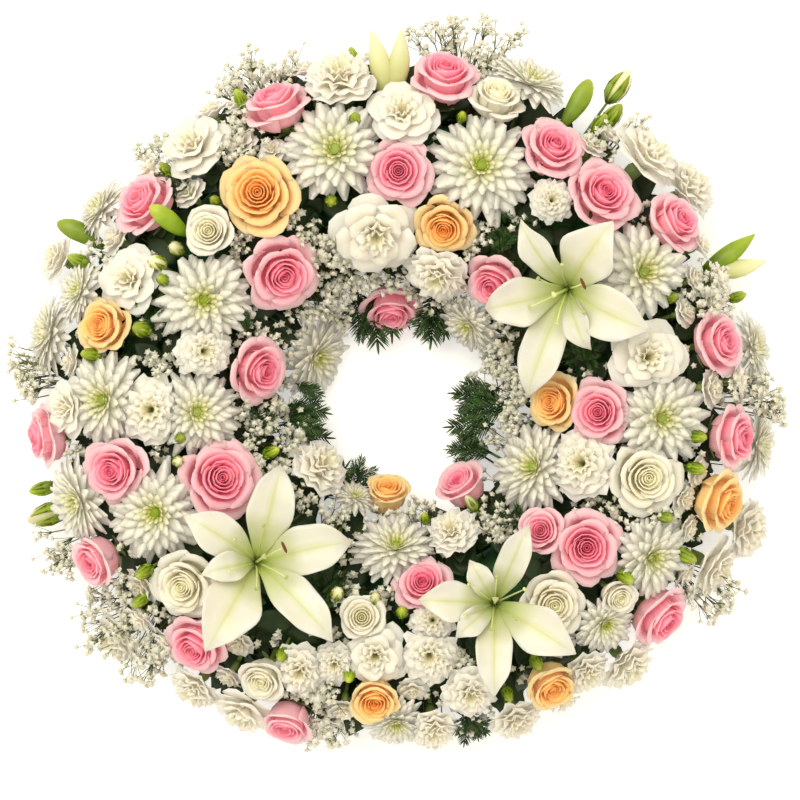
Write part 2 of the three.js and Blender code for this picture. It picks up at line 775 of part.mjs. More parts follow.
function finishOf(name) {
  if (name.startsWith("pink")) return material(colours.pinkRose, 0.7);
  if (name.startsWith("peach")) return material(colours.peachRose, 0.7);
  if (name.startsWith("white_rose")) return material(colours.whiteRose, 0.7);
  if (name.startsWith("white")) return material(colours.white, 0.75);
  if (name.startsWith("lily_bud") || name.startsWith("lisianthus")) return material(colours.bud, 0.6);
  if (name.startsWith("lily")) return material(colours.lily, 0.55);
  return material(colours.leaf, 0.65);
}

let foamBody = hoop(foamOutline);
for (const stem of stems.filter(({ main }) => main)) {
  const along = stem.line.end.clone().sub(stem.line.start).normalize();
  const sides = stemOf[stem.owner.kind].sides;
  const radius = stem.radius + clearance / Math.cos(Math.PI / sides);
  const bottom = stem.line.start.clone().addScaledVector(along, -clearance);
  foamBody = foamBody.subtract(rod(bottom, stem.line.end, radius, sides));
}
addMesh("tray", hoop(trayOutline), material(colours.tray, 0.5));
addMesh("foam_ring", foamBody, material(colours.foam, 0.9));

for (const name of Object.keys(pieces)) {
  let body = null;
  for (const stem of stems.filter(({ owner }) => owner.name === name)) {
    const stalk = rod(stem.line.start, stem.line.end, stem.radius, stemOf[stem.owner.kind].sides);
    for (const part of [stalk, ...bodyOf(stem)]) body = body ? body.add(part) : part;
  }
  addMesh(name, body.simplify(0.08), finishOf(name));
}

// The origin is under the middle of the wreath's outline.
const bounds = new THREE.Box3().setFromObject(group);
const centre = bounds.getCenter(vector(0, 0, 0));
for (const mesh of group.children) mesh.geometry.translate(-centre.x, -centre.y, 0);

export default group;
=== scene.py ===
# A round funeral wreath of fresh roses, chrysanthemums, carnations and lilies, seen from straight above.
import math

import bpy
import numpy as np
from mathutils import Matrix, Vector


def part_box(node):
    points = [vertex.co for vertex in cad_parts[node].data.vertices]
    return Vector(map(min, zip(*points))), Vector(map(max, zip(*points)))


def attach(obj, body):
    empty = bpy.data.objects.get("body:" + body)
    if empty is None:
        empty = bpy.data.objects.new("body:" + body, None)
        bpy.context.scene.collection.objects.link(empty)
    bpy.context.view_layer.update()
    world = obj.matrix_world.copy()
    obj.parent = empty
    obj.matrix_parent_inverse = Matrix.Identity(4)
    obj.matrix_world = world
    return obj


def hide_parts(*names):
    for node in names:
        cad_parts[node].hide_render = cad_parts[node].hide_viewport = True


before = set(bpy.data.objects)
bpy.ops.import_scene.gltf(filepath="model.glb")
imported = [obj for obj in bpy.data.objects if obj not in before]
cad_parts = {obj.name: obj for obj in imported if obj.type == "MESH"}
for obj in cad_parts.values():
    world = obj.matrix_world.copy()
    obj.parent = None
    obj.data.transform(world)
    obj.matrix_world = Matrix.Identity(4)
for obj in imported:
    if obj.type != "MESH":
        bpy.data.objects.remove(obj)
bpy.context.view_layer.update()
bpy.ops.object.select_all(action="DESELECT")

# The wreath's own middle, from the tray. Everything below is in millimetres round it until it is built.
trayLow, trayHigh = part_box("tray")
wreathMiddle = np.array([(trayLow.x + trayHigh.x) / 2, (trayLow.y + trayHigh.y) / 2, 0.0])
ringRadius = 190.0  # middle of the foam ring
fullTurn = 2 * math.pi
randomDraw = np.random.default_rng(11)
draw = randomDraw.uniform

dome = {"foot": 20, "halfWidth": 112, "rise": 90, "limit": 0.992}
facing = {"leanPerAngle": 1.08, "inward": 0.95, "outward": 1.2, "most": 1.55}  # how far blooms tilt
crowding = {"rose": 1.12, "mum": 1.34, "carnation": 1.34}  # heads are wider than what shows of them
pressing = {"rose": 0.72, "mum": 0.6, "carnation": 0.75}  # and give way this much where they meet
pressGap = -2.5  # soft petals lie over each other a little
broadCarnations = {("white_bunch_6", 0), ("white_bunch_4", 1), ("white_bunch_8", 0), ("white_bunch_1", 2),
                   ("white_bunch_9", 0), ("white_bunch_8", 4), ("white_bunch_12", 0), ("white_bunch_5", 1),
                   ("white_bunch_3", 0), ("white_bunch_13", 0), ("white_bunch_7", 5)}
up = np.array([0.0, 0.0, 1.0])


def linear(hexColour):
    # sRGB hex to the linear values that shaders take
    parts = [int(hexColour[i:i + 2], 16) / 255 for i in (1, 3, 5)]
    return [c / 12.92 if c <= 0.04045 else ((c + 0.055) / 1.055) ** 2.4 for c in parts] + [1.0]


def addNode(tree, kind, settings=None, links=None):
    node = tree.nodes.new(kind)
    for key, value in (settings or {}).items():
        if key in node.inputs.keys() or isinstance(key, int):
            node.inputs[key].default_value = value
        else:
            setattr(node, key, value)
    for key, source in (links or {}).items():
        tree.links.new(source, node.inputs[key])
    return node


def newMaterial(name):
    material = bpy.data.materials.new(name)
    material.use_nodes = True
    tree = material.node_tree
    tree.nodes.clear()
    shader = addNode(tree, "ShaderNodeBsdfPrincipled")
    addNode(tree, "ShaderNodeOutputMaterial", links={"Surface": shader.outputs[0]})
    return material, tree, shader, addNode(tree, "ShaderNodeTexCoord").outputs["Object"]


def toneParts(tree):
    # The tone attribute: how far along its petal or leaf a point is, how far out that stands and its own draw.
    # The fourth value is one draw for a whole head.
    tone = addNode(tree, "ShaderNodeAttribute", {"attribute_name": "tone"})
    return addNode(tree, "ShaderNodeSeparateColor", links={"Color": tone.outputs["Color"]}).outputs


def ramp(tree, source, stops):
    # A colour ramp from (place, hex) pairs, eased between them
    node = addNode(tree, "ShaderNodeValToRGB", links={"Fac": source})
    node.color_ramp.interpolation = "EASE"
    while len(node.color_ramp.elements) < len(stops):
        node.color_ramp.elements.new(0.5)
    for element, (place, colour) in zip(node.color_ramp.elements, stops):
        element.position = place
        element.color = linear(colour)
    return node.outputs[0]


def mixColour(tree, share, first, second, blend="MIX"):
    node = addNode(tree, "ShaderNodeMix", {"data_type": "RGBA", "blend_type": blend})
    for socket, value in ((node.inputs[0], share), (node.inputs[6], first), (node.inputs[7], second)):
        if isinstance(value, (int, float, list)):
            socket.default_value = value
        else:
            tree.links.new(value, socket)
    return node.outputs[2]


def noise(tree, place, scale, detail=2.0):
    return addNode(tree, "ShaderNodeTexNoise", {"Scale": scale, "Detail": detail}, {"Vector": place}).outputs[0]


def shareOf(tree, source, low, high, toLow=0.0, toHigh=1.0):
    limits = {"From Min": low, "From Max": high, "To Min": toLow, "To Max": toHigh}
    return addNode(tree, "ShaderNodeMapRange", limits, {"Value": source}).outputs[0]


def paint(tree, shader, colour, height, strength, depth, values):
    # Colour, a bump of the given depth in metres, and uniform values straight on the shader's sockets
    bump = addNode(tree, "ShaderNodeBump", {"Strength": strength, "Distance": depth}, {"Height": height})
    tree.links.new(colour, shader.inputs["Base Color"])
    tree.links.new(bump.outputs[0], shader.inputs["Normal"])
    for socket, value in values.items():
        shader.inputs[socket].default_value = value


def petalMaterial(name, own):
    # Fresh petal: soft, a little see-through, finely veined, with a faint painted glow
    look = {**petalDefaults, **own}
    material, tree, shader, place = newMaterial(name)
    along, outward, petalDraw = toneParts(tree)
    body = ramp(tree, outward, look["fromHeart"])
    rim = ramp(tree, outward, look["rimFromHeart"])
    colour = mixColour(tree, shareOf(tree, along, look["rimStart"], 1.0), body, rim)
    footShare = shareOf(tree, along, look["footEnd"], 0.0, 0.0, look["footShare"])
    colour = mixColour(tree, footShare, colour, linear(look["foot"]))
    cloudy = shareOf(tree, noise(tree, place, 60.0), 0.4, 0.7, 0.0, look["patchy"])  # 15 mm patches
    colour = mixColour(tree, cloudy, colour, linear(look["patch"]))
    headShade = shareOf(tree, petalDraw, 0.0, 1.0, look["shadeLow"])
    colour = mixColour(tree, 1.0, colour, headShade, "MULTIPLY")
    # painted glow: each petal emits a little of its own colour in place of the light that thin petals hand on to each
    # other, which keeps the folds between them from going grey
    tree.links.new(colour, shader.inputs["Emission Color"])
    veins = noise(tree, place, 900.0, 3.0)  # about 1 mm
    paint(tree, shader, colour, veins, look["bump"], 0.0004, {
        "Emission Strength": look["paintedGlow"], "Roughness": look["roughness"], "Sheen Weight": 0.15,
        "Subsurface Weight": look["glow"], "Subsurface Radius": look["glowRadius"], "Subsurface Scale": 0.004})
    return material


def greenMaterial(name, look):
    # Leaf or stem: a waxy skin over green, mottled, with a paler foot on young growth
    material, tree, shader, place = newMaterial(name)
    along, _, ownDraw = toneParts(tree)
    base = ramp(tree, noise(tree, place, look["mottle"], 3.0), look["colours"])
    colour = mixColour(tree, look["alongShare"], base, ramp(tree, along, look["along"]))
    colour = mixColour(tree, 1.0, colour, shareOf(tree, ownDraw, 0.0, 1.0, 0.65, 1.15), "MULTIPLY")
    paint(tree, shader, colour, noise(tree, place, 1200.0), 0.2, 0.0003, {
        "Roughness": look["roughness"], "Subsurface Weight": look.get("glow", 0.05), "Subsurface Scale": 0.002})
    return material


# paintedGlow is the strength of a painted glow in each petal's own colour, which lifts the shade in its folds
petalDefaults = {"patchy": 0.3, "shadeLow": 0.95, "footShare": 0.85, "bump": 0.15, "paintedGlow": 0.06,
                 "roughness": 0.55, "glow": 0.4, "glowRadius": (1.0, 0.7, 0.6)}
petalLooks = {
    "pinkRosePetal": {
        "fromHeart": [(0.0, "#9e0828"), (0.25, "#dc3a64"), (0.6, "#fd88a2"), (1.0, "#ffb0bd")],
        "rimFromHeart": [(0.0, "#e04c70"), (0.35, "#fb92aa"), (1.0, "#ffc8cf")],
        "rimStart": 0.45, "foot": "#f4c9a8", "footEnd": 0.2, "patch": "#ffc0c8", "glow": 0.6,
        "glowRadius": (1.0, 0.45, 0.45),
    },
    "peachRosePetal": {
        "fromHeart": [(0.0, "#d25c04"), (0.35, "#f79a34"), (0.7, "#fdba68"), (1.0, "#ffce88")],
        "rimFromHeart": [(0.0, "#ee8c34"), (0.45, "#febe72"), (1.0, "#ffdaa6")],
        "rimStart": 0.5, "foot": "#eeb651", "footEnd": 0.3, "patch": "#ffcf94", "glow": 0.6,
        "glowRadius": (1.0, 0.6, 0.3),
    },
    "whiteRosePetal": {
        "fromHeart": [(0.0, "#e2d99a"), (0.4, "#ebe2be"), (1.0, "#ece5d0")],
        "rimFromHeart": [(0.0, "#ebe4b8"), (0.5, "#f0e9d4"), (1.0, "#f2ecdf")],
        "rimStart": 0.4, "foot": "#cdd086", "footEnd": 0.3, "patch": "#ebdfba", "glow": 0.5,
    },
    "mumPetal": {
        "fromHeart": [(0.0, "#6c8400"), (0.16, "#a4b404"), (0.34, "#dad85e"), (0.6, "#efebcf"), (1.0, "#f0ebdc")],
        "rimFromHeart": [(0.0, "#869c00"), (0.18, "#bcc830"), (0.36, "#e6e2ac"), (0.6, "#f2eedc"), (1.0, "#f4efe4")],
        "rimStart": 0.3, "foot": "#aab52c", "footEnd": 0.3, "patch": "#e8e2c6", "patchy": 0.2,
        "glow": 0.5,
    },
    "carnationPetal": {
        "fromHeart": [(0.0, "#e2d9a0"), (0.4, "#ebe3c8"), (1.0, "#eee8dc")],
        "rimFromHeart": [(0.0, "#ece5c8"), (0.5, "#f1ecdf"), (1.0, "#f3efe6")],
        "rimStart": 0.4, "foot": "#c3c876", "footEnd": 0.35, "patch": "#ecdfc2", "shadeLow": 0.96,
        "glow": 0.5,
    },
    "lilyPetal": {
        # from the midrib to the edge of a petal
        "fromHeart": [(0.0, "#c8cb98"), (0.1, "#d2d3b4"), (0.3, "#d9d8ca"), (1.0, "#dad9d1")],
        "rimFromHeart": [(0.0, "#d4d5b6"), (0.12, "#dad9cd"), (1.0, "#dfddd8")],
        "rimStart": 0.6, "foot": "#9db200", "footEnd": 0.46, "footShare": 0.96, "patch": "#d3d4a6",
        "roughness": 0.42, "bump": 0.08,
    },
    "babysBreathPetal": {
        "fromHeart": [(0.0, "#b6b866"), (0.5, "#e0dfb6"), (1.0, "#e9e6c8")],
        "rimFromHeart": [(0.0, "#d3d290"), (0.5, "#f2efd8"), (1.0, "#f6f4e6")],
        "rimStart": 0.5, "foot": "#4d5c1c", "footEnd": 0.62, "patch": "#d8d2a2", "shadeLow": 0.8,
        # a weaker painted glow for the florets
        "paintedGlow": 0.05,
    },
}
greenLooks = {
    "flowerStemSkin": {"mottle": 120.0, "colours": [(0.3, "#5f7d38"), (0.7, "#86a04e")],
                       "along": [(0.0, "#6f8f42"), (1.0, "#9db566")], "alongShare": 0.3, "roughness": 0.5},
    "threadStemSkin": {"mottle": 200.0, "colours": [(0.3, "#414e1c"), (0.7, "#667232")],
                       "along": [(0.0, "#46531c"), (1.0, "#78823e")], "alongShare": 0.3, "roughness": 0.6},
    "needleLeafSkin": {"mottle": 90.0, "colours": [(0.3, "#15300a"), (0.7, "#2d5618")],
                       "along": [(0.0, "#1a380e"), (1.0, "#4a7428")], "alongShare": 0.45, "roughness": 0.5},
    # broad leaves: a dark green that is partly their own colour and partly painted shade, made darker so the gaps
    # they fill between the blooms stay deep
    "broadLeafSkin": {"mottle": 70.0, "colours": [(0.3, "#132b08"), (0.7, "#284c12")],
                      "along": [(0.0, "#1f3c0e"), (1.0, "#183209")], "alongShare": 0.3, "roughness": 0.58},
    "greenBudSkin": {"mottle": 110.0, "colours": [(0.3, "#6f9410"), (0.7, "#9ab41a")],
                     "along": [(0.0, "#5c8418"), (0.6, "#8fac16"), (1.0, "#c0ca48")], "alongShare": 0.6,
                     "roughness": 0.42, "glow": 0.15},
    "creamBudSkin": {"mottle": 110.0, "colours": [(0.3, "#d9dc9c"), (0.7, "#e6e6bc")],
                     "along": [(0.0, "#9bb045"), (0.35, "#d3d78c"), (1.0, "#efecc8")], "alongShare": 0.75,
                     "roughness": 0.45, "glow": 0.2},
    "stamenSkin": {"mottle": 300.0, "colours": [(0.3, "#bccb6a"), (0.7, "#d3dc90")],
                   "along": [(0.0, "#b3c65c"), (1.0, "#dfe4a4")], "alongShare": 0.5, "roughness": 0.45},
    "antherSkin": {"mottle": 900.0, "colours": [(0.3, "#6f3a1c"), (0.7, "#8f5228")],
                   "along": [(0.0, "#6f3a1c"), (1.0, "#8a4a24")], "alongShare": 0.3, "roughness": 0.85},
}
materials = {name: petalMaterial(name, look) for name, look in petalLooks.items()}
materials.update({name: greenMaterial(name, look) for name, look in greenLooks.items()})
print("materials made:", len(materials))


# Small meshes as arrays: points, faces, a tone for each point and a material name for each face
def made(points, faces, tone, skin):
    return {"points": np.array(points, float), "faces": faces, "tone": tone, "skins": [skin] * len(faces)}


def toned(along, outward):
    tone = np.zeros((len(along), 4))
    tone[:, 0] = along
    tone[:, 1] = outward
    tone[:, 2] = randomDraw.random()
    return tone


def joined(parts):
    faces, skins, count = [], [], 0
    for part in parts:
        faces.extend([[i + count for i in face] for face in part["faces"]])
        skins.extend(part["skins"])
        count += len(part["points"])
    return {"points": np.vstack([part["points"] for part in parts]), "faces": faces,
            "tone": np.vstack([part["tone"] for part in parts]), "skins": skins}


def moved(part, points, headDraw=None):
    tone = part["tone"]
    if headDraw is not None:
        tone = tone.copy()
        tone[:, 3] = headDraw
    return {"points": points, "faces": part["faces"], "tone": tone, "skins": part["skins"]}


def turned(part, angle, tilt=0.0):
    # Tilts a part away from the axis, towards +X, and then turns it round the axis
    c, s = math.cos(tilt), math.sin(tilt)
    lean = np.array([[c, 0, s], [0, 1, 0], [-s, 0, c]])
    c, s = math.cos(angle), math.sin(angle)
    spin = np.array([[c, -s, 0], [s, c, 0], [0, 0, 1]])
    return moved(part, part["points"] @ lean.T @ spin.T)


def readPoints(data):
    points = np.empty(len(data.vertices) * 3)
    data.vertices.foreach_get("co", points)
    return points.reshape(-1, 3)


def petal(columns, rows, thickness, skin, outward, shape):
    # One petal: a grid laid out by shape(u, v) with u from -1 to 1 across and v from 0 to 1 along, then thickened
    bpy.ops.mesh.primitive_grid_add(x_subdivisions=columns, y_subdivisions=rows, size=2)
    obj = bpy.context.object
    data = obj.data
    flat = readPoints(data)
    u, v = flat[:, 0], (flat[:, 1] + 1) / 2
    data.vertices.foreach_set("co", shape(u, v).astype(np.float32).ravel())
    marks = np.zeros((len(u), 4), np.float32)
    marks[:, 0] = v
    data.attributes.new("tone", "FLOAT_COLOR", "POINT").data.foreach_set("color", marks.ravel())
    wall = obj.modifiers.new("wall", "SOLIDIFY")
    wall.thickness = thickness
    wall.offset = 0
    bpy.ops.object.modifier_apply(modifier=wall.name)
    marks = np.empty(len(data.vertices) * 4)
    data.attributes["tone"].data.foreach_get("color", marks)
    points, faces = readPoints(data), [list(face.vertices) for face in data.polygons]
    bpy.data.objects.remove(obj)
    bpy.data.meshes.remove(data)
    return made(points, faces, toned(marks.reshape(-1, 4)[:, 0], outward), skin)


def lathe(profile, sides, skin, outward=1.0, flute=None):
    # A closed body round the axis from (radius, height) pairs, with pointed ends
    profile = np.array(profile, float)
    angle = np.arange(sides) * fullTurn / sides
    points = [[0.0, 0.0, profile[0, 1]]]
    marks = [0.0]
    span = profile[-1, 1] - profile[0, 1]
    for radius, height in profile[1:-1]:
        for a in angle:
            r = radius * (1 + (flute(a, height) if flute else 0.0))
            points.append([r * math.cos(a), r * math.sin(a), height])
            marks.append((height - profile[0, 1]) / span)
    points.append([0.0, 0.0, profile[-1, 1]])
    marks.append(1.0)
    faces = []
    rings = len(profile) - 2
    for k in range(sides):
        after = (k + 1) % sides
        faces.append([0, 1 + after, 1 + k])
        for ring in range(rings - 1):
            a, b = 1 + ring * sides, 1 + (ring + 1) * sides
            faces.append([a + k, a + after, b + after, b + k])
        last = 1 + (rings - 1) * sides
        faces.append([last + k, last + after, len(points) - 1])
    return made(points, faces, toned(marks, outward), skin)


def closedRings(rings, sides):
    # Faces of a closed body made of rings with the same number of points
    faces = [list(range(sides))[::-1]]
    for ring in range(rings - 1):
        for k in range(sides):
            a, b = ring * sides + k, ring * sides + (k + 1) % sides
            faces.append([a, b, b + sides, a + sides])
    return faces + [[(rings - 1) * sides + k for k in range(sides)]]


def tube(path, radii, sides, skin):
    # A closed tube along a path, from the first point to the last
    path = np.array(path, float)
    radii = np.broadcast_to(np.array(radii, float), len(path))
    along = np.gradient(path, axis=0)
    along /= np.linalg.norm(along, axis=1)[:, None] + 1e-12
    helper = up if abs(along[0, 2]) < 0.9 else np.array([1.0, 0.0, 0.0])
    angle = np.arange(sides) * fullTurn / sides
    points = []
    for centre, direction, radius in zip(path, along, radii):
        first = np.cross(helper, direction)
        first /= np.linalg.norm(first) + 1e-12
        second = np.cross(direction, first)
        points.append(centre + radius * (np.outer(np.cos(angle), first) + np.outer(np.sin(angle), second)))
    along = np.repeat(np.linspace(0, 1, len(path)), sides)
    return made(np.vstack(points), closedRings(len(path), sides), toned(along, 1.0), skin)


def blade(path, widths, thickness, channel, skin, outward):
    # A narrow petal or leaf in the XZ plane along (distance from the axis, height), its edges raised a little
    points = []
    for (reach, height), width in zip(path, widths):
        edge = height + channel * width
        points.extend([[reach, -width / 2, edge], [reach, 0, height - thickness], [reach, width / 2, edge],
                       [reach, 0, height]])
    return made(points, closedRings(len(path), 4), toned(np.repeat(np.linspace(0, 1, len(path)), 4), outward), skin)


# Unit blooms: half a head wide is 1, the middle of the head is at 0 and the flower faces +Z
roseLook = {
    # petals, rim radius, rim height, spread in degrees, roll of the rim, how far out it counts for colour
    "open": [(2, 0.05, 0.43, 330, 0.0, 0.0), (3, 0.10, 0.46, 205, 0.0, 0.06), (3, 0.16, 0.49, 182, 0.01, 0.14),
             (3, 0.235, 0.51, 168, 0.01, 0.24), (3, 0.33, 0.52, 160, 0.02, 0.36), (4, 0.45, 0.49, 128, 0.05, 0.55),
             (5, 0.64, 0.38, 102, 0.09, 0.8), (6, 0.86, 0.14, 84, 0.12, 1.0)],
    "full": [(2, 0.06, 0.46, 330, 0.0, 0.0), (3, 0.12, 0.50, 205, 0.0, 0.08), (3, 0.20, 0.53, 180, 0.01, 0.18),
             (4, 0.30, 0.55, 138, 0.02, 0.3), (4, 0.43, 0.53, 130, 0.04, 0.5), (5, 0.62, 0.42, 104, 0.09, 0.78),
             (5, 0.86, 0.16, 98, 0.12, 1.0)],
    "cup": [(2, 0.06, 0.52, 330, 0.0, 0.0), (3, 0.13, 0.56, 205, 0.0, 0.08), (3, 0.22, 0.60, 175, 0.01, 0.2),
            (3, 0.32, 0.64, 165, 0.02, 0.35), (4, 0.45, 0.66, 138, 0.03, 0.55), (4, 0.62, 0.62, 128, 0.06, 0.8),
            (4, 0.82, 0.50, 122, 0.1, 1.0)],
    "petalWall": 0.02, "outerGrid": (7, 5), "innerGrid": (5, 4), "twist": 2.4,
    "hip": [(0, -0.78), (0.1, -0.76), (0.17, -0.66), (0.2, -0.55), (0.1, -0.45), (0, -0.44)],
}


def spaced(k, count, jitter):
    # The angle of the k-th of count things that stand round in a ring
    return (k + draw(-jitter, jitter)) * fullTurn / count


def polar(radius, angle, height):
    return np.stack([radius * np.cos(angle), radius * np.sin(angle), height], 1)


def sepals(path, widths, thickness, channel, skin, start=0.0):
    # The five sepals under a rose or round a bud
    return [turned(blade(path, widths, thickness, channel, skin, 1.0), k * 1.2566 + start) for k in range(5)]


def rosePetal(layer, skin):
    rRim, zRim, spread, roll, outward = layer[1:]
    phase = draw(0, 6.3)
    tall = draw(0.95, 1.05)
    rRim = rRim * draw(0.95, 1.05)
    zRim = zRim + draw(-0.025, 0.025)
    rFoot, zFoot = 0.02 + 0.18 * rRim, -0.12 - 0.42 * rRim
    side = randomDraw.choice([-1, 1]) if outward > 0.7 else 1
    flare = min(max((outward - 0.35) / 0.4, 0.0), 1.0)  # outer petals open out, inner ones stay a cup

    def shape(u, v):
        edge = np.abs(u)
        notch = 0.06 * outward * np.exp(-(u / 0.25) ** 2)
        climb = v * tall * (1 - (0.12 + 0.14 * outward) * edge ** 2.4 + notch)
        width = 0.42 + 0.58 * np.sin(np.minimum(v * 1.25, 1) * math.pi / 2)
        angle = u * math.radians(spread) / 2 * width
        belly = np.clip(climb, 0, 1.1)
        cupped = np.sin(np.minimum(belly, 1) * math.pi / 2) ** 0.85
        flared = 0.72 * np.sin(np.minimum(belly / 0.5, 1) * math.pi / 2)
        flared = flared + 0.28 * np.clip((belly - 0.55) / 0.45, 0, 1) ** 1.3
        radius = rFoot + (rRim - rFoot) * (cupped + (flared - cupped) * flare)
        upright = 0.2 * belly + 0.8 * belly ** 1.5
        levelled = np.interp(belly, [0, 0.3, 0.6, 0.8, 1.0, 1.1], [0, 0.2, 0.72, 0.96, 1.0, 0.98])
        height = zFoot + (zRim - zFoot) * (upright + (levelled - upright) * flare)
        lip = np.clip((climb - 0.66) / 0.34, 0, 1.2) ** 2
        curl = roll * lip * (0.7 + 0.9 * edge ** 2)
        radius = radius + curl + 0.055 * side * u * rRim  # one side lies over the next petal
        height = height - curl * (0.35 + 0.7 * edge ** 2)
        radius = radius + 0.02 * outward * np.sin(4.5 * u + phase) * climb ** 3
        height = height + (0.008 + 0.02 * outward) * np.sin(3.4 * u + phase * 2) * climb ** 3
        return polar(radius, angle, height)

    columns, rows = roseLook["outerGrid"] if outward > 0.5 else roseLook["innerGrid"]
    return petal(columns, rows, roseLook["petalWall"], skin, outward, shape)


def roseHead(variant, skin):
    parts = []
    for index, layer in enumerate(roseLook[variant]):
        start = index * roseLook["twist"]
        for k in range(layer[0]):
            angle = start + spaced(k, layer[0], 0.14)
            parts.append(turned(rosePetal(layer, skin), angle, draw(-0.05, 0.05) * layer[-1]))
    parts.append(lathe(roseLook["hip"], 8, "flowerStemSkin"))
    parts.extend(sepals([(0.1, -0.6), (0.3, -0.64), (0.5, -0.56), (0.66, -0.44)], [0.12, 0.2, 0.14, 0.02],
                        0.03, 0.03, "flowerStemSkin"))
    return joined(parts)


mumLook = {
    # petals, length, rise of the foot and of the tip in degrees, width, how far out it counts for colour
    "tiers": [(18, 1.0, 8, -14, 0.27, 1.0), (18, 0.94, 18, -5, 0.26, 0.93), (17, 0.86, 28, 5, 0.25, 0.85),
              (16, 0.76, 37, 16, 0.23, 0.74), (15, 0.64, 46, 29, 0.2, 0.62), (14, 0.5, 57, 45, 0.16, 0.48),
              (12, 0.37, 67, 60, 0.12, 0.34), (10, 0.25, 76, 74, 0.085, 0.2), (7, 0.16, 83, 83, 0.06, 0.08)],
    "widths": (0.5, 0.9, 1.08, 0.96, 0.3), "petalWall": 0.016, "channel": 0.09,
    "heart": [(0, -0.1), (0.1, -0.06), (0.12, 0.02), (0.07, 0.06), (0, 0.05)],
    "cup": [(0, -0.42), (0.06, -0.4), (0.16, -0.24), (0.22, -0.14), (0.05, -0.1), (0, -0.1)],
}


def mumHead(seedTurn):
    parts = []
    stations = len(mumLook["widths"])
    for count, length, footRise, tipRise, width, outward in mumLook["tiers"]:
        for k in range(count):
            stretch = draw(0.9, 1.04)
            rises = np.radians(np.linspace(footRise, tipRise, stations) + draw(-7, 7))
            step = length * stretch / (stations - 1)
            path = [(0.04, -0.12)]
            for rise in rises[1:]:
                path.append((path[-1][0] + step * math.cos(rise), path[-1][1] + step * math.sin(rise)))
            widths = np.array(mumLook["widths"]) * width * draw(0.9, 1.08)
            strap = blade(path, widths, mumLook["petalWall"], mumLook["channel"], "mumPetal", outward)
            parts.append(turned(strap, seedTurn + spaced(k, count, 0.25)))
    parts.append(lathe(mumLook["heart"], 8, "mumPetal", 0.0))
    parts.append(lathe(mumLook["cup"], 8, "flowerStemSkin"))
    return joined(parts)


carnationLook = {
    # petals, rim radius, rim height, spread in degrees, frill, roundness, teeth
    "ruffled": [(7, 1.0, 0.04, 80, 0.08, 0.16, 0.08), (7, 0.86, 0.24, 78, 0.1, 0.14, 0.08),
                (6, 0.68, 0.40, 84, 0.12, 0.12, 0.08), (6, 0.48, 0.50, 88, 0.13, 0.1, 0.07),
                (5, 0.28, 0.56, 100, 0.1, 0.1, 0.05)],
    "broad": [(5, 1.0, 0.02, 92, 0.035, 0.3, 0.0), (5, 0.86, 0.22, 88, 0.04, 0.28, 0.0),
              (4, 0.62, 0.38, 100, 0.06, 0.24, 0.0), (5, 0.38, 0.42, 96, 0.12, 0.14, 0.03),
              (4, 0.2, 0.46, 110, 0.1, 0.1, 0.03)],
    "small": [(6, 1.0, 0.04, 84, 0.07, 0.18, 0.05), (5, 0.8, 0.28, 86, 0.09, 0.16, 0.05),
              (4, 0.5, 0.44, 100, 0.1, 0.12, 0.04), (3, 0.25, 0.52, 120, 0.09, 0.1, 0.03)],
    "petalWall": 0.018, "columns": {"ruffled": 8, "broad": 7, "small": 5}, "rows": 3,
    "calyx": [(0, -0.9), (0.1, -0.88), (0.17, -0.7), (0.2, -0.4), (0.14, -0.25), (0, -0.24)],
}


def carnationPetal(layer, outward, columns):
    rRim, zRim, spread, frill, roundness, teeth = layer[1:]
    phase = draw(0, 6.3)
    waves = draw(4.5, 7.0)
    bend = draw(-0.06, 0.06)

    def shape(u, v):
        toothed = 1 - teeth * (np.round((u + 1) * 4.5) % 2) * (v > 0.9)
        climb = v * (1 - roundness * np.abs(u) ** 2.6) * toothed
        angle = u * math.radians(spread) / 2 * (0.22 + 0.78 * np.sin(v * math.pi / 2))
        radius = 0.05 + (rRim - 0.05) * climb ** 1.3
        height = -0.35 + (zRim + 0.35) * (1 - (1 - np.clip(climb, 0, 1)) ** 1.9)
        ruffle = np.sin(waves * u + phase) * climb ** 2
        height = height + frill * ruffle + bend * climb ** 2
        radius = radius + 0.6 * frill * np.cos(waves * u * 1.3 + phase) * climb ** 3
        return polar(radius, angle, height)

    return petal(columns, carnationLook["rows"], carnationLook["petalWall"], "carnationPetal", outward, shape)


def carnationHead(variant):
    parts = []
    layers = carnationLook[variant]
    for index, layer in enumerate(layers):
        for k in range(layer[0]):
            angle = index * 1.7 + spaced(k, layer[0], 0.15)
            outward = 1 - 0.8 * index / (len(layers) - 1)
            parts.append(turned(carnationPetal(layer, outward, carnationLook["columns"][variant]), angle))
    parts.append(lathe(carnationLook["calyx"], 8, "flowerStemSkin"))
    return joined(parts)


lilyLook = {
    "petalWall": 0.9, "columns": 12, "rows": 18,
    "stemFrom": 26, "stamenReach": 25, "stamenHeight": 16, "brownLength": 11, "paleLength": 4.0,
    "archAt": [0.03, 0.15, 0.4, 0.62, 0.8, 0.93, 1.0], "arch": [-24, -12, 5, 11, 12.5, 10, 6],
    "trough": 0.16, "rib": 0.9, "seam": 0.5, "wave": 3.4, "recurve": 26,
    # angle from the right, reach, width and how far it lies above the lowest petals, as in the photograph
    "lily_1": [(54, 72, 42, 2), (120, 68, 23, 0), (192, 66, 36, 2), (251, 92, 33, 0), (338, 78, 40, 2),
               (296, 52, 21, 0)],
    "lily_2": [(77, 80, 35, 2), (11, 78, 38, 0), (312, 90, 32, 2), (240, 86, 43, 0), (150, 70, 32, 2),
               (195, 48, 23, 0)],
    "lily_3": [(66, 70, 24, 0), (178, 62, 30, 2), (270, 76, 28, 2), (328, 78, 35, 0), (120, 40, 19, 0),
               (222, 42, 20, 0)],
}


def lilyHalf(along, width):
    # How wide a lily petal is at a place along it, as a share of its own width and in millimetres
    wide = np.sin(np.clip(along, 0, 1) ** 1.12 * math.pi)
    return wide, width / 2 * (0.1 * (1 - along) + wide * 1.05)


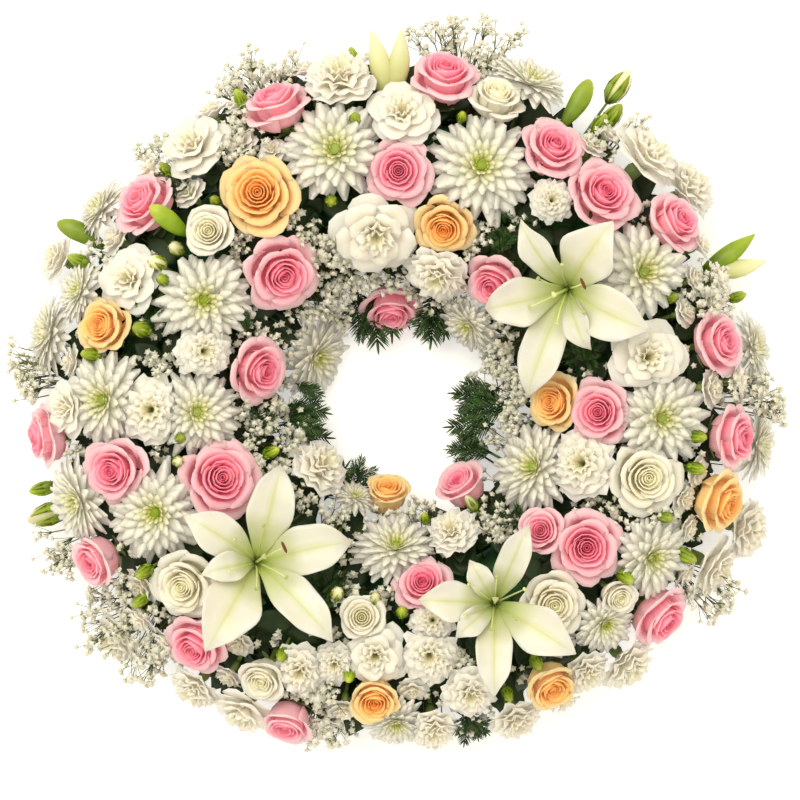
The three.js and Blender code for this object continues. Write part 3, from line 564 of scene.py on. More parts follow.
def lilyHead(name, item):
    # Built at its real size: every petal from the throat outwards, then the stamens and the pistil
    parts = []
    rotate = math.atan2(item["side"][1], item["side"][0])
    for angle, reach, width, raised in lilyLook[name]:
        phase = draw(0, 6.3)
        arch = draw(0.9, 1.1)

        def shape(u, v):
            along = 0.03 + 0.97 * v
            height = np.interp(along, lilyLook["archAt"], lilyLook["arch"])
            wide, half = lilyHalf(along, width)
            edge = np.abs(u)
            across = u * half
            height = height * arch + raised + lilyLook["trough"] * width * wide * edge ** 1.6
            height = height + lilyLook["rib"] * np.exp(-((edge - 0.13) / 0.1) ** 2) * wide
            height = height - lilyLook["seam"] * np.exp(-(u / 0.07) ** 2) * wide
            height = height + lilyLook["wave"] * np.sin(12 * along + phase + 1.3 * np.sign(u)) * edge ** 3 * wide
            height = height - lilyLook["recurve"] * np.clip(along - 0.86, 0, 1) * (1 + edge)
            across = across * (1 + 0.05 * np.sin(14 * along + phase))
            return np.stack([along * reach, across, height], 1)

        sheet = petal(lilyLook["columns"], lilyLook["rows"], lilyLook["petalWall"], "lilyPetal", 0.5, shape)
        along = np.clip(sheet["points"][:, 0] / reach, 0, 1)
        half = lilyHalf(along, width)[1] + 0.5
        sheet["tone"][:, 1] = np.clip(np.abs(sheet["points"][:, 1]) / half, 0, 1)  # 0 on the midrib
        parts.append(turned(sheet, math.radians(angle) - rotate))
    for k in range(6):
        angle = math.radians(60 * k + 24) - rotate
        bend = draw(0.85, 1.1)
        tip = (lilyLook["stamenReach"] * bend, 0, lilyLook["stamenHeight"])
        path = [(1, 0, -24), (6, 0, -8), (14 * bend, 0, 6), tip]
        parts.append(turned(tube(path, [0.9, 0.8, 0.7, 0.5], 6, "stamenSkin"), angle))
        brown = k == 0 and name != "lily_3"
        length = lilyLook["brownLength"] if brown else lilyLook["paleLength"]
        anther = lathe([(0, -length / 2), (1.2, -length / 3), (1.5, 0), (1.2, length / 3), (0, length / 2)], 6,
                       "antherSkin" if brown else "stamenSkin")
        lying = (anther["points"][:, [2, 1, 0]] * [1, -1, 1])[:, [1, 0, 2]]  # across the end of its filament
        parts.append(turned(moved(anther, lying + np.array(tip)), angle))
    pistil = tube([(0, 0, -24), (0.5, 0, -5), (1, 1, 10), (2, 2, 24)], [1.4, 1.1, 1.0, 1.2], 8, "stamenSkin")
    stigma = lathe([(0, 22.5), (2.0, 23.5), (2.6, 25), (1.2, 26.2), (0, 25.6)], 9, "stamenSkin",
                   flute=lambda a, h: 0.3 * math.cos(3 * a))
    receptacle = lathe([(0, -32), (3, -30), (5, -26), (4.5, -22), (0, -20)], 8, "flowerStemSkin")
    return joined(parts + [pistil, moved(stigma, stigma["points"] + [2, 2, 0]), receptacle])


budLook = {
    # A closed lily bud swells above its middle and is blunt, an opening one is slimmer and more pointed.
    "closed": [(0, -1.0), (0.11, -0.96), (0.18, -0.8), (0.26, -0.5), (0.33, -0.1), (0.36, 0.2), (0.33, 0.5),
               (0.24, 0.78), (0.12, 0.94), (0, 1.0)],
    "opening": [(0, -1.0), (0.1, -0.97), (0.19, -0.75), (0.27, -0.4), (0.31, -0.05), (0.29, 0.3), (0.21, 0.62),
                (0.11, 0.9), (0.04, 1.08), (0, 1.12)],
    "round": [(0, -1.0), (0.14, -0.96), (0.34, -0.7), (0.46, -0.3), (0.47, 0.1), (0.38, 0.5), (0.24, 0.8),
              (0.1, 0.95), (0, 1.0)],
}


def lilyBud(skin, form):
    # Six long petals still closed: three ribs and three seams, a little bent
    body = lathe(budLook[form], 24, skin, flute=lambda a, h: 0.09 * math.cos(3 * a) + 0.03 * math.cos(6 * a))
    points = body["points"].copy()
    points[:, 0] += 0.08 * (points[:, 2] ** 2 - 0.5)
    return moved(body, points)


def roundBud(skin):
    body = lathe(budLook["round"], 15, skin, flute=lambda a, h: 0.06 * math.cos(5 * a))
    return joined([body] + sepals([(0.12, -0.98), (0.44, -0.6), (0.53, -0.1), (0.46, 0.4), (0.3, 0.75)],
                                  [0.2, 0.42, 0.4, 0.25, 0.03], 0.04, 0.02, "greenBudSkin", 0.3))


def breathFloret():
    # A baby's breath floret: a double ring of short notched petals
    outer = lathe([(0, -0.8), (1.0, 0.1), (0, 0.2)], 10, "babysBreathPetal", 0.9,
                  flute=lambda a, h: 0.24 * math.cos(5 * a))
    inner = lathe([(0, 0.0), (0.62, 0.46), (0, 0.42)], 8, "babysBreathPetal", 0.6,
                  flute=lambda a, h: 0.25 * math.cos(4 * a + 1))
    return joined([outer, inner])


def broadLeaf():
    def shape(u, v):
        wide = np.sin(np.clip(v, 0, 1) ** 0.85 * math.pi) ** 0.8
        across = u * (0.02 + 0.27 * wide)
        height = 0.2 * np.abs(across) * wide - 0.16 * v ** 2 + 0.015 * np.sin(12 * v) * np.abs(u) ** 2
        return np.stack([v, across, height], 1)

    return petal(4, 5, 0.014, "broadLeafSkin", 1.0, shape)


def needleSprig():
    # A feathery sprig, 1 long: needles in two ranks that point forward along a slim stem
    parts = [tube([(0, 0, 0), (0.5, 0, 0.04), (0.97, 0, 0.0)], [0.018, 0.014, 0.006], 5, "needleLeafSkin")]
    for k in range(13):
        place = 0.12 + 0.066 * k
        length = 0.36 * math.sin(0.5 + 2.2 * place) + 0.05
        for side in (-1, 1):
            needle = blade([(0, 0), (0.5 * length, 0.03), (length, 0.0)], [0.026, 0.044, 0.006], 0.014, 0.1,
                           "needleLeafSkin", 1.0)
            needle = turned(needle, side * draw(0.55, 0.8), draw(-0.3, 0.1))
            parts.append(moved(needle, needle["points"] + [place, 0, 0.03]))
    parts.append(blade([(0.9, 0.0), (1.02, 0.01), (1.14, 0.0), (1.2, 0.0)], [0.03, 0.055, 0.04, 0.006], 0.014, 0.1,
                       "needleLeafSkin", 1.0))
    return joined(parts)


# No rose here has the full form: it is drawn all the same, so that what is drawn after it stays as it is.
roseForms = {"open": 2, "full": 1, "cup": 1}
roseHeads = {}
for colour in ("pink", "peach", "white"):
    roseHeads[colour] = {form: [roseHead(form, colour + "RosePetal") for _ in range(count)]
                         for form, count in roseForms.items()}
mumHeads = [mumHead(k * 0.4) for k in range(3)]
carnationHeads = {form: [carnationHead(form) for _ in range(2)] for form in ("ruffled", "broad", "small")}
floret = breathFloret()
leaf = broadLeaf()
sprigs = [needleSprig() for _ in range(3)]
print("blooms modelled: rose", len(roseHeads["pink"]["open"][0]["faces"]), "chrysanthemum",
      len(mumHeads[0]["faces"]), "carnation", len(carnationHeads["broad"][0]["faces"]), "faces each")


# Where every flower stands: x, y and width as they show from straight above, in millimetres. lean is in
# degrees past the dome's own slope, lift is above the dome, and a pair of lily buds leans apart by spread.
roses = {
    "pink_rose_1": [(-97, 240, 58, {"lean": 20})],
    "pink_rose_2": [(-205, 160, 56, {"lean": 6})],
    "pink_roses_3": [(-95, 105, 62), (-115, 25, 54)],
    "pink_roses_4": [(2, 187, 58), (40, 264, 58)],
    "pink_rose_5": [(-5, 78, 52)],
    "pink_roses_6": [(168, 167, 60), (128, 205, 54), (228, 145, 52)],
    "pink_rose_7": [(82, 97, 50)],
    "pink_rose_8": [(167, -10, 55)],
    "pink_roses_9": [(264, 47, 52), (277, -30, 52)],
    "pink_roses_10": [(155, -120, 60), (120, -108, 40)],
    "pink_rose_11": [(217, -178, 54)],
    "pink_roses_12": [(57, -74, 44), (22, -152, 48)],
    "pink_roses_13": [(-145, -65, 66), (-228, -57, 58)],
    "pink_roses_14": [(-289, -30, 50), (-243, -130, 46)],
    "pink_roses_15": [(-163, -200, 52), (-88, -262, 44)],
    "peach_rose_1": [(-112, 168, 66)],
    "peach_rose_2": [(-238, 60, 48)],
    "peach_rose_3": [(40, 143, 50)],
    "peach_rose_4": [(132, -2, 48)],
    "peach_rose_5": [(266, -84, 54)],
    "peach_rose_6": [(-8, -82, 40)],
    "peach_rose_7": [(125, -230, 46)],
    "peach_rose_8": [(-17, -242, 44)],
    "white_rose_1": [(-152, 137, 44)],
    "white_roses_2": [(-172, -150, 56), (-108, -225, 42)],
    "white_rose_3": [(-28, -178, 40)],
    "white_rose_4": [(203, -63, 60)],
    "white_roses_5": [(128, -166, 54), (180, -160, 34)],
    "white_rose_6": [(82, 246, 48, {"lean": 10})],
}
flowers = {node: [("rose", *place) for place in row] for node, row in roses.items()}
flowers.update({
    "white_bunch_1": [("mum", -50, 205, 76), ("carnation", -45, 262, 52), ("carnation", 5, 233, 48),
                      ("mist", -95, 272, 44)],
    "white_bunch_2": [("mum", 70, 192, 76), ("carnation", 127, 163, 30), ("mum", 112, 264, 58),
                      ("mist", 60, 292, 48)],
    "white_bunch_3": [("carnation", 207, 200, 52), ("carnation", 242, 176, 44), ("mist", 168, 216, 36)],
    "white_bunch_4": [("mum", 217, -15, 66), ("carnation", 205, 35, 52), ("mum", 203, 105, 70),
                      ("mist", 262, 92, 40), ("carnation", 153, -52, 48), ("mum", 113, -55, 62),
                      ("mist", 88, 0, 46), ("mist", 80, 38, 40)],
    "white_bunch_5": [("mum", 210, -130, 58), ("carnation", 263, -138, 46), ("carnation", 290, -108, 44),
                      ("mum", 304, -38, 48), ("mum", 300, 44, 46), ("mist", 310, 2, 46, {"lift": 6}),
                      ("mum", 172, -184, 46), ("carnation", 190, -217, 42), ("carnation", 155, -222, 36)],
    "white_bunch_6": [("carnation", -17, 138, 58), ("carnation", 35, 106, 44), ("mum", 60, 62, 42),
                      ("mist", -58, 122, 38)],
    "white_bunch_7": [("mum", -157, 82, 68), ("carnation", -158, 40, 38), ("mum", -163, -10, 60),
                      ("carnation", -200, -8, 46), ("mum", -240, 0, 68), ("carnation", -268, -6, 40),
                      ("mum", -66, 36, 56), ("mist", -48, 66, 34)],
    "white_bunch_8": [("carnation", -217, 98, 46), ("mum", -262, 90, 44), ("mum", -290, 55, 54),
                      ("mist", -306, 16, 44, {"lift": 6}), ("carnation", -282, 118, 36), ("mum", -247, 158, 48)],
    "white_bunch_9": [("carnation", -165, 207, 50), ("mist", -140, 218, 38)],
    "white_bunch_10": [("mum", -197, -92, 66), ("mum", -263, -84, 58), ("mist", -283, -128, 40)],
    "white_bunch_11": [("mum", 0, -120, 56), ("mum", -34, -80, 30), ("carnation", -65, -58, 44),
                       ("carnation", 47, -110, 36)],
    "white_bunch_12": [("carnation", -17, -208, 46), ("carnation", -50, -215, 30), ("carnation", -78, -220, 38),
                       ("mist", -66, -262, 38), ("carnation", 27, -208, 40), ("carnation", 30, -180, 30),
                       ("carnation", 60, -238, 38), ("carnation", 98, -262, 36), ("carnation", 30, -268, 36),
                       ("mum", 0, -266, 44)],
    "white_bunch_13": [("carnation", -125, -256, 44), ("carnation", -165, -237, 36), ("mist", -198, -212, 44),
                       ("carnation", -230, -198, 40), ("mist", -222, -164, 44)],
    "lily_1": [("lily", 136, 88, 150, {"lift": 18})],
    "lily_2": [("lily", -112, -130, 150, {"lift": 18})],
    "lily_3": [("lily", 80, -165, 140, {"lift": 16})],
    "lily_buds_1": [("lilyBud", -185, 146, 44, {"lift": 8, "lean": 36}), ("lilyBud", -262, 138, 46, {"lean": 36}),
                    ("bud", -180, 124, 24, {"skin": "creamBudSkin"})],
    "lily_bud_2": [("lilyBud", -6, 275, 56, {"lean": 30, "pair": ("creamBudSkin", "creamBudSkin"), "spread": 0.16}),
                   ("bud", -36, 282, 22, {"lean": 30})],
    "lily_buds_3": [("lilyBud", 150, 246, 46, {"lean": 34}),
                    ("bud", 186, 262, 34, {"lean": 36, "lift": 6, "skin": "creamBudSkin"}), ("bud", 180, 236, 28)],
    "lily_bud_4": [("lilyBud", 281, 116, 50, {"lean": 34, "pair": ("creamBudSkin", "greenBudSkin"), "spread": 0.2})],
    "lisianthus_buds": [("bud", -292, -96, 36, {"lean": 24, "skin": "creamBudSkin"}),
                        ("bud", -296, -74, 24, {"lean": 24})],
    "foliage_1": [("frond", 90, 140, 52), ("frond", 24, 58, 48, {"lean": 10}), ("bud", 54, 232, 16)],
    "foliage_2": [("frond", 152, 42, 50), ("frond", 58, 0, 44), ("bud", 226, 84, 18), ("bud", 284, 86, 18)],
    "foliage_3": [("frond", 56, -36, 46), ("frond", 98, -96, 34), ("bud", 68, -38, 14), ("bud", 24, -98, 14)],
    "foliage_4": [("frond", -58, -152, 54), ("frond", -28, -58, 40)],
    "foliage_5": [("frond", -82, -18, 56), ("frond", -112, -20, 44), ("bud", -103, -43, 20)],
    "foliage_6": [("frond", -22, 60, 48, {"lean": 6}), ("bud", -53, 163, 20)],
    "foliage_7": [("frond", -200, 78, 40), ("frond", -178, 178, 44), ("bud", -190, 190, 18),
                  ("bud", -148, 163, 18)],
    "foliage_8": [("frond", 60, -268, 44), ("bud", 92, -242, 18), ("frond", 150, -200, 34)],
})


def unit(v):
    return v / (np.linalg.norm(v) + 1e-12)


def outwardAt(angle):
    return np.array([math.cos(angle), math.sin(angle), 0.0])


def outwardOf(point):
    return unit(np.array([point[0], point[1], 0.0]))


def domeHeight(radius):
    share = np.clip((radius - ringRadius) / dome["halfWidth"], -dome["limit"], dome["limit"])
    return dome["foot"] + dome["rise"] * np.cos(np.arcsin(share))


def domeSlope(radius, limit):
    return math.asin(min(max((radius - ringRadius) / dome["halfWidth"], -limit), limit))


def onDome(x, y, above):
    return np.array([x, y, float(domeHeight(math.hypot(x, y))) + above])


def settle(node, order, entry):
    # Middle, axis and half width of a flower that stands on the dome and faces away from it
    kind, x, y, across = entry[:4]
    more = entry[4] if len(entry) > 4 else {}
    outward = outwardOf((x, y))
    slope = domeSlope(math.hypot(x, y), dome["limit"])
    withDome = min(max(slope * facing["leanPerAngle"], -facing["inward"]), facing["outward"])
    tilt = withDome + math.copysign(math.radians(more.get("lean", 0)), slope)
    tilt = min(max(tilt, -facing["most"]), facing["most"])
    axis = outward * math.sin(tilt) + up * math.cos(tilt)
    side = np.array([-outward[1], outward[0], 0.0])
    return {"node": node, "order": order, "kind": kind, "middle": onDome(x, y, more.get("lift", 0)), "axis": axis,
            "side": side, "over": np.cross(axis, side), "half": across / 2 * crowding.get(kind, 1), "more": more}


settled = [settle(node, order, entry) for node, row in flowers.items() for order, entry in enumerate(row)]


def lilyBlocks(item):
    # Corner points of each third of every lily petal, which other heads keep clear of
    blocks = []
    for angle, reach, width, raised in lilyLook[item["node"]]:
        a = math.radians(angle) - math.atan2(item["side"][1], item["side"][0])
        out = item["side"] * math.cos(a) + item["over"] * math.sin(a)
        across = np.cross(item["axis"], out)
        stations = []
        for along, high, wide in ((0.04, -22, 0.1), (0.4, 4, 0.9), (0.78, 11, 0.8), (1, 5, 0.08)):
            keel = item["middle"] + out * along * reach + item["axis"] * (high + raised)
            edge = keel + item["axis"] * 0.14 * width * wide
            half = across * width * wide / 2
            stations.append([edge - half, keel - item["axis"], edge + half])
        blocks.extend(np.array(a + b) for a, b in zip(stations, stations[1:]))
    return blocks


allLilyBlocks = [(item, block) for item in settled if item["kind"] == "lily" for block in lilyBlocks(item)]


def planeAgainst(point, corners, margin):
    # The plane square to the shortest way from a point to the hull of the corners
    nearest = corners.mean(0)
    for _ in range(60):
        toward = nearest - point
        support = corners[np.argmin(corners @ toward)]
        step = support - nearest
        length = step @ step
        if length < 1e-9:
            break
        nearest = nearest + step * min(max(-(toward @ step) / length, 0), 1)
    normal = unit(nearest - point)
    return normal, float(((corners - point) @ normal).min()) - margin


keeping = {"reach": 1.05, "beyond": 4, "lilyReach": 80, "middle": 46.0, "table": 3, "least": 2.0}


def planesOf(item):
    # Planes that a head may not cross: half way to each neighbour, the lilies, the open middle and the table
    planes = []
    middle, half = item["middle"], item["half"]
    for other in settled:
        if other is item or other["kind"] in ("lily", "mist", "frond"):
            continue
        apart = other["middle"] - middle
        distance = np.linalg.norm(apart)
        if distance <= half * keeping["reach"] + other["half"] + keeping["beyond"]:
            planes.append((apart / distance, distance * half / (half + other["half"]) - pressGap / 2))
    for lily, block in allLilyBlocks:
        if lily is not item and np.linalg.norm(block[0] - middle) < half + keeping["lilyReach"]:
            planes.append(planeAgainst(middle, block, pressGap))
    planes.append((-outwardOf(middle), math.hypot(middle[0], middle[1]) - keeping["middle"]))
    planes.append((-up, middle[2] - keeping["table"]))
    return np.array([p[0] for p in planes]), np.array([max(p[1], keeping["least"]) for p in planes])


def polarOf(points):
    # Distance of each point from a bloom's middle and its angle from the axis
    length = np.linalg.norm(points, axis=1)
    return length, np.arccos(np.clip(points[:, 2] / np.maximum(length, 1e-9), -1, 1))


def envelopeOf(part):
    # The largest reach of a unit bloom for each angle from its axis, worked out once and kept with the bloom
    if "envelope" not in part:
        length, angle = polarOf(part["points"])
        edges = np.linspace(0, math.pi, 16)
        reach = [length[(angle >= a) & (angle <= b)].max(initial=0.3) for a, b in zip(edges, edges[1:])]
        part["envelope"] = (edges[:-1] + edges[1:]) / 2, np.array(reach)
    return part["envelope"]


tableMargin = {"from": 5.0, "least": 1.5}  # points under 5 mm are eased up to more than 1.5 mm over the table


def placeHead(part, item, spin):
    # Stands a unit bloom in its place and presses it in where its neighbours are
    local = turned(part, spin)["points"]
    own = np.interp(polarOf(local)[1], *envelopeOf(part)) * item["half"]
    world = local @ np.array([item["side"], item["over"], item["axis"]]) * item["half"]
    direction = world / np.maximum(np.linalg.norm(world, axis=1), 1e-9)[:, None]
    normals, distances = item["planes"]
    toward = direction @ normals.T
    reach = np.where(toward > 1e-6, distances / np.maximum(toward, 1e-6), 1e9).min(1)
    press = 1 - (1 - np.clip(reach / own, 0.35, 1.0)) * pressing.get(item["kind"], 1.0)
    points = item["middle"] + world * press[:, None]
    low, span = np.minimum(points[:, 2], tableMargin["from"]), tableMargin["from"] - tableMargin["least"]
    eased = tableMargin["least"] + span * np.exp((low - tableMargin["from"]) / span)
    points[:, 2] = np.where(points[:, 2] < tableMargin["from"], eased, points[:, 2])
    return moved(part, points, randomDraw.random())


for item in settled:
    if item["kind"] != "lily":
        item["planes"] = planesOf(item)


stemLook = {
    "rose": 2.3, "mum": 1.7, "carnation": 1.6, "lily": 2.6, "lilyBud": 1.9, "bud": 1.2,  # radii
    "footHeight": 24.0, "straight": 14, "bow": 0.2,
}


def stemOf(item):
    # A stem curves from the head down into the foam
    start = item["middle"] - item["axis"] * item["half"] * 0.5
    around = math.atan2(item["middle"][1], item["middle"][0])
    foot = outwardAt(around) * ringRadius + up * stemLook["footHeight"]
    bend = start - item["axis"] * stemLook["straight"]
    foot = foot + unit(bend - foot) * stemLook["straight"]
    control = bend + (foot - bend) * stemLook["bow"]
    shares = np.linspace(0, 1, 6)[:, None]
    path = (1 - shares) ** 2 * foot + 2 * shares * (1 - shares) * control + shares ** 2 * start
    return tube(path, stemLook[item["kind"]], 6, "flowerStemSkin")


def headOf(item):
    # One of the unit blooms of this kind, or a new round bud
    if item["kind"] == "bud":
        return roundBud(item["more"].get("skin", "greenBudSkin"))
    if item["kind"] == "rose":
        choice = roseHeads[item["node"].split("_")[0]]["cup" if item["half"] < 26 else "open"]
    elif item["kind"] == "mum":
        choice = mumHeads
    elif item["node"] == "edge":
        choice = carnationHeads["small"]
    else:
        choice = carnationHeads["broad" if (item["node"], item["order"]) in broadCarnations else "ruffled"]
    return choice[int(randomDraw.integers(len(choice)))]


def lilyBudsOf(item, spin):
    # A green bud, or a pair that leans apart
    parts = [stemOf(item)]
    pair = item["more"].get("pair")
    for sign, skin in zip((-1, 1), pair) if pair else [(0, "greenBudSkin")]:
        angle = sign * item["more"].get("spread", 0.0)
        axis = item["axis"] * math.cos(angle) + item["side"] * math.sin(angle)
        middle = item["middle"] + item["side"] * sign * item["half"] * 0.27
        own = dict(item, axis=axis, side=np.cross(item["over"], axis), middle=middle)
        parts.append(placeHead(lilyBud(skin, "opening" if pair else "closed"), own, spin))
    return parts


def bodyOf(item):
    spin = draw(0, 6.28)
    if item["kind"] == "lilyBud":
        return lilyBudsOf(item, spin)
    if item["kind"] == "lily":
        part = lilyHead(item["node"], item)
        world = part["points"] @ np.array([item["side"], item["over"], item["axis"]]) + item["middle"]
        return [moved(part, world, randomDraw.random()), stemOf(dict(item, half=lilyLook["stemFrom"] * 2))]
    return [placeHead(headOf(item), item, spin), stemOf(item)]


def addPiece(name, parts, slotName, *nodes):
    # One object in the row frame, with its materials and the tone attribute
    part = joined(parts)
    points = part["points"] / 1000 + wreathMiddle
    mesh = bpy.data.meshes.new(name)
    mesh.from_pydata(points.tolist(), [], part["faces"])
    names = sorted(set(part["skins"]))
    for skin in names:
        mesh.materials.append(materials[skin])
    mesh.polygons.foreach_set("material_index", [names.index(skin) for skin in part["skins"]])
    marks = mesh.attributes.new("tone", "FLOAT_COLOR", "POINT")
    marks.data.foreach_set("color", part["tone"].astype(np.float32).ravel())
    mesh.shade_smooth()
    mesh.update()
    obj = bpy.data.objects.new(name, mesh)
    bpy.context.scene.collection.objects.link(obj)
    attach(obj, "root")
    if nodes:
        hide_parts(*nodes)


def slotOf(node):
    for start, slotName in (("pink", "pink_rose"), ("peach", "peach_rose"), ("white_rose", "white_rose"),
                            ("white_bunch", "white_flower"), ("lily_bud", "bud"), ("lisianthus", "bud"),
                            ("lily", "lily"), ("foliage", "leaf")):
        if node.startswith(start):
            return slotName


def laid(part, foot, direction, upward, length):
    # Lays a part that lies along +X and faces +Z along a direction, from its foot
    along = unit(direction)
    across = unit(np.cross(upward, along))
    points = part["points"] @ np.array([along, across, np.cross(along, across)]) * length
    return moved(part, foot + points, randomDraw.random())


solidHeads = [item for item in settled if item["kind"] not in ("mist", "frond")]
heads = {"middles": np.array([item["middle"] for item in solidHeads]),
         "reaches": np.array([item["half"] for item in solidHeads])}


def headRooms(point, share):
    # Distance to the sphere of each head, shrunk to a share of its size
    return np.linalg.norm(heads["middles"] - point, axis=1) - heads["reaches"] * share


def inHead(point, share):
    return bool((np.linalg.norm(heads["middles"] - point, axis=1) < heads["reaches"] * share).any())


breathLook = {
    "floretWidth": 6.0, "thread": 0.32, "branch": 0.5, "groupReach": 11.0,
    "hubDepth": 42, "hubInward": 1.3, "hubFrom": 262, "hubLeast": 16.0, "bow": 4.0,
    "middleEdge": 60, "rimEdge": 328, "outsideFrom": 296, "outsideRise": 26,
    "box": (-324, 326, -294, 320),  # the CAD's box, round the wreath's middle
    # x, y, half width, half height, florets
    "rim": [(-112, 264, 44, 24, 124), (64, 300, 52, 20, 130), (-304, 34, 22, 30, 64), (-290, -128, 22, 20, 44),
            (-226, -190, 44, 50, 210), (-66, -262, 26, 30, 100), (314, -4, 18, 34, 66), (265, -155, 30, 26, 76),
            (-196, 204, 20, 16, 44), (196, 226, 14, 12, 24)],
    "inside": [(-52, 108, 26, 52, 74), (-88, -20, 44, 26, 70), (86, 10, 30, 44, 90), (80, -116, 14, 12, 22),
               (60, -202, 18, 14, 40), (212, -96, 24, 10, 34), (258, 92, 18, 22, 50), (-122, 212, 26, 20, 56),
               (276, 10, 26, 14, 40), (-206, 30, 16, 12, 22), (-20, -158, 30, 10, 28)],
}


def floretOn(node, place, facing, widest, helper, neck):
    # One floret at the end of its thread
    size = breathLook["floretWidth"] / 2 * draw(0.7, widest)
    first = unit(np.cross(facing, helper))
    turn = np.array([first, np.cross(facing, first), facing])
    return [moved(floret, place + floret["points"] @ turn * size, randomDraw.random()),
            tube([node, place - facing * size * neck], breathLook["thread"], 3, "threadStemSkin")]


def breathCloud(cloud):
    # Florets in small groups: each group hangs on one branch, and the branches meet at a hub below
    x, y, wide, high, count = cloud
    hubRadius = math.hypot(x, y)
    outside = max(hubRadius - breathLook["hubFrom"], 0)
    hub = onDome(x, y, -breathLook["hubDepth"]) - outwardOf((x, y)) * outside * breathLook["hubInward"]
    hub[2] = max(hub[2], breathLook["hubLeast"])
    left, right, front, back = breathLook["box"]
    parts = []
    wanted = count
    for _ in range(count * 6):
        if wanted <= 0:
            break
        angle, share = draw(0, fullTurn), math.sqrt(randomDraw.random())
        px, py = x + wide * share * math.cos(angle), y + high * share * math.sin(angle)
        radius = math.hypot(px, py)
        if radius < breathLook["middleEdge"] or radius > breathLook["rimEdge"]:
            continue
        rise = draw(-8, 8)
        if radius > breathLook["outsideFrom"]:
            rise += draw(0, breathLook["outsideRise"])
        middle = onDome(px, py, rise)
        if inHead(middle, 0.8):
            continue
        node = middle + unit(hub - middle) * draw(10, 15)
        bow = (node + hub) / 2 - up * breathLook["bow"]
        parts.append(tube([hub, bow, node], breathLook["branch"], 4, "threadStemSkin"))
        for _ in range(int(randomDraw.integers(4, 8))):
            place = middle + randomDraw.normal(0, 0.42, 3) * breathLook["groupReach"]
            inBox = left < place[0] < right and front < place[1] < back and place[2] >= 8
            if not inBox or inHead(place, 0.78):
                continue
            facing = unit(place - node + randomDraw.normal(0, 3, 3))
            parts.extend(floretOn(node, place, facing, 1.12, [0.3, 0.2, 0.9], 0.6))
            wanted -= 1
    return parts


def mistOf(item):
    # The spray of a bunch that the solid also has: the same place and width
    x, y = item["middle"][:2]
    return breathCloud((x, y, item["half"] * 0.9, item["half"] * 0.9, 26))


sprigLength = 1.2  # of the unit sprig with its tip
frondLook = {"sprigs": 6, "foot": 0.55, "rise": (0.45, 0.95), "reach": (0.95, 1.15), "stem": 30}


def anySprig():
    return sprigs[int(randomDraw.integers(3))]


def frondOf(item):
    parts = []
    foot = item["middle"] - item["axis"] * item["half"] * frondLook["foot"]
    for k in range(frondLook["sprigs"]):
        angle = k * fullTurn / frondLook["sprigs"] + draw(-0.3, 0.3)
        out = item["side"] * math.cos(angle) + item["over"] * math.sin(angle)
        rise = draw(*frondLook["rise"])
        direction = out * math.cos(rise) + item["axis"] * math.sin(rise)
        length = item["half"] * draw(*frondLook["reach"])
        parts.append(laid(anySprig(), foot, direction, item["axis"] - out * 0.5, length / sprigLength))
    parts.append(tube([foot - item["axis"] * frondLook["stem"], foot], 1.0, 5, "needleLeafSkin"))
    return parts


for node in flowers:
    parts = []
    for item in settled:
        if item["node"] == node:
            parts.extend({"mist": mistOf, "frond": frondOf}.get(item["kind"], bodyOf)(item))
    addPiece("dressed_" + node, parts, slotOf(node), node)
print("flowers placed:", len(settled))

# Small white blooms that fill the wreath's edge between the larger ones
edgeLook = {
    "tries": 2600, "most": 60, "nearest": 226, "furthest": 284, "least": 10.0, "widest": 19.0,
    "front": -268, "back": 286, "lift": -6, "lean": -24, "spread": 4,
}


def edgeBlooms():
    parts = []
    placed = 0
    for order in range(edgeLook["tries"]):
        angle = draw(0, fullTurn)
        radius = draw(edgeLook["nearest"], edgeLook["furthest"])
        x, y = radius * math.cos(angle), radius * math.sin(angle)
        if placed >= edgeLook["most"] or not edgeLook["front"] < y < edgeLook["back"]:
            continue
        entry = ("carnation", x, y, 20, {"lift": edgeLook["lift"], "lean": edgeLook["lean"]})
        item = settle("edge", order, entry)
        free = float(headRooms(item["middle"], 0.78).min())
        if free < edgeLook["least"]:
            continue
        item["half"] = min(free + edgeLook["spread"], edgeLook["widest"])
        item["planes"] = planesOf(item)
        parts.extend(bodyOf(item))
        heads["middles"] = np.vstack([heads["middles"], item["middle"]])
        heads["reaches"] = np.append(heads["reaches"], item["half"])
        placed += 1
    print("small edge blooms:", placed)
    return parts


addPiece("edge_carnations", edgeBlooms(), "white_flower")

for name in ("rim", "inside"):
    parts = []
    for cloud in breathLook[name]:
        parts.extend(breathCloud(cloud))
    addPiece("babys_breath_" + name, parts, "white_flower")


def inFoam(point):
    # The place in the foam that a stem to this point grows from
    off = min(max(math.hypot(point[0], point[1]) - ringRadius, -38), 38)
    return outwardOf(point) * (ringRadius + off) + up * min(max(point[2] - 22, 26), 54)


betweenLook = {"groups": 2000, "nearest": 84, "furthest": 292, "depth": 16, "least": 14, "branch": 9,
               "groupReach": 4.6}


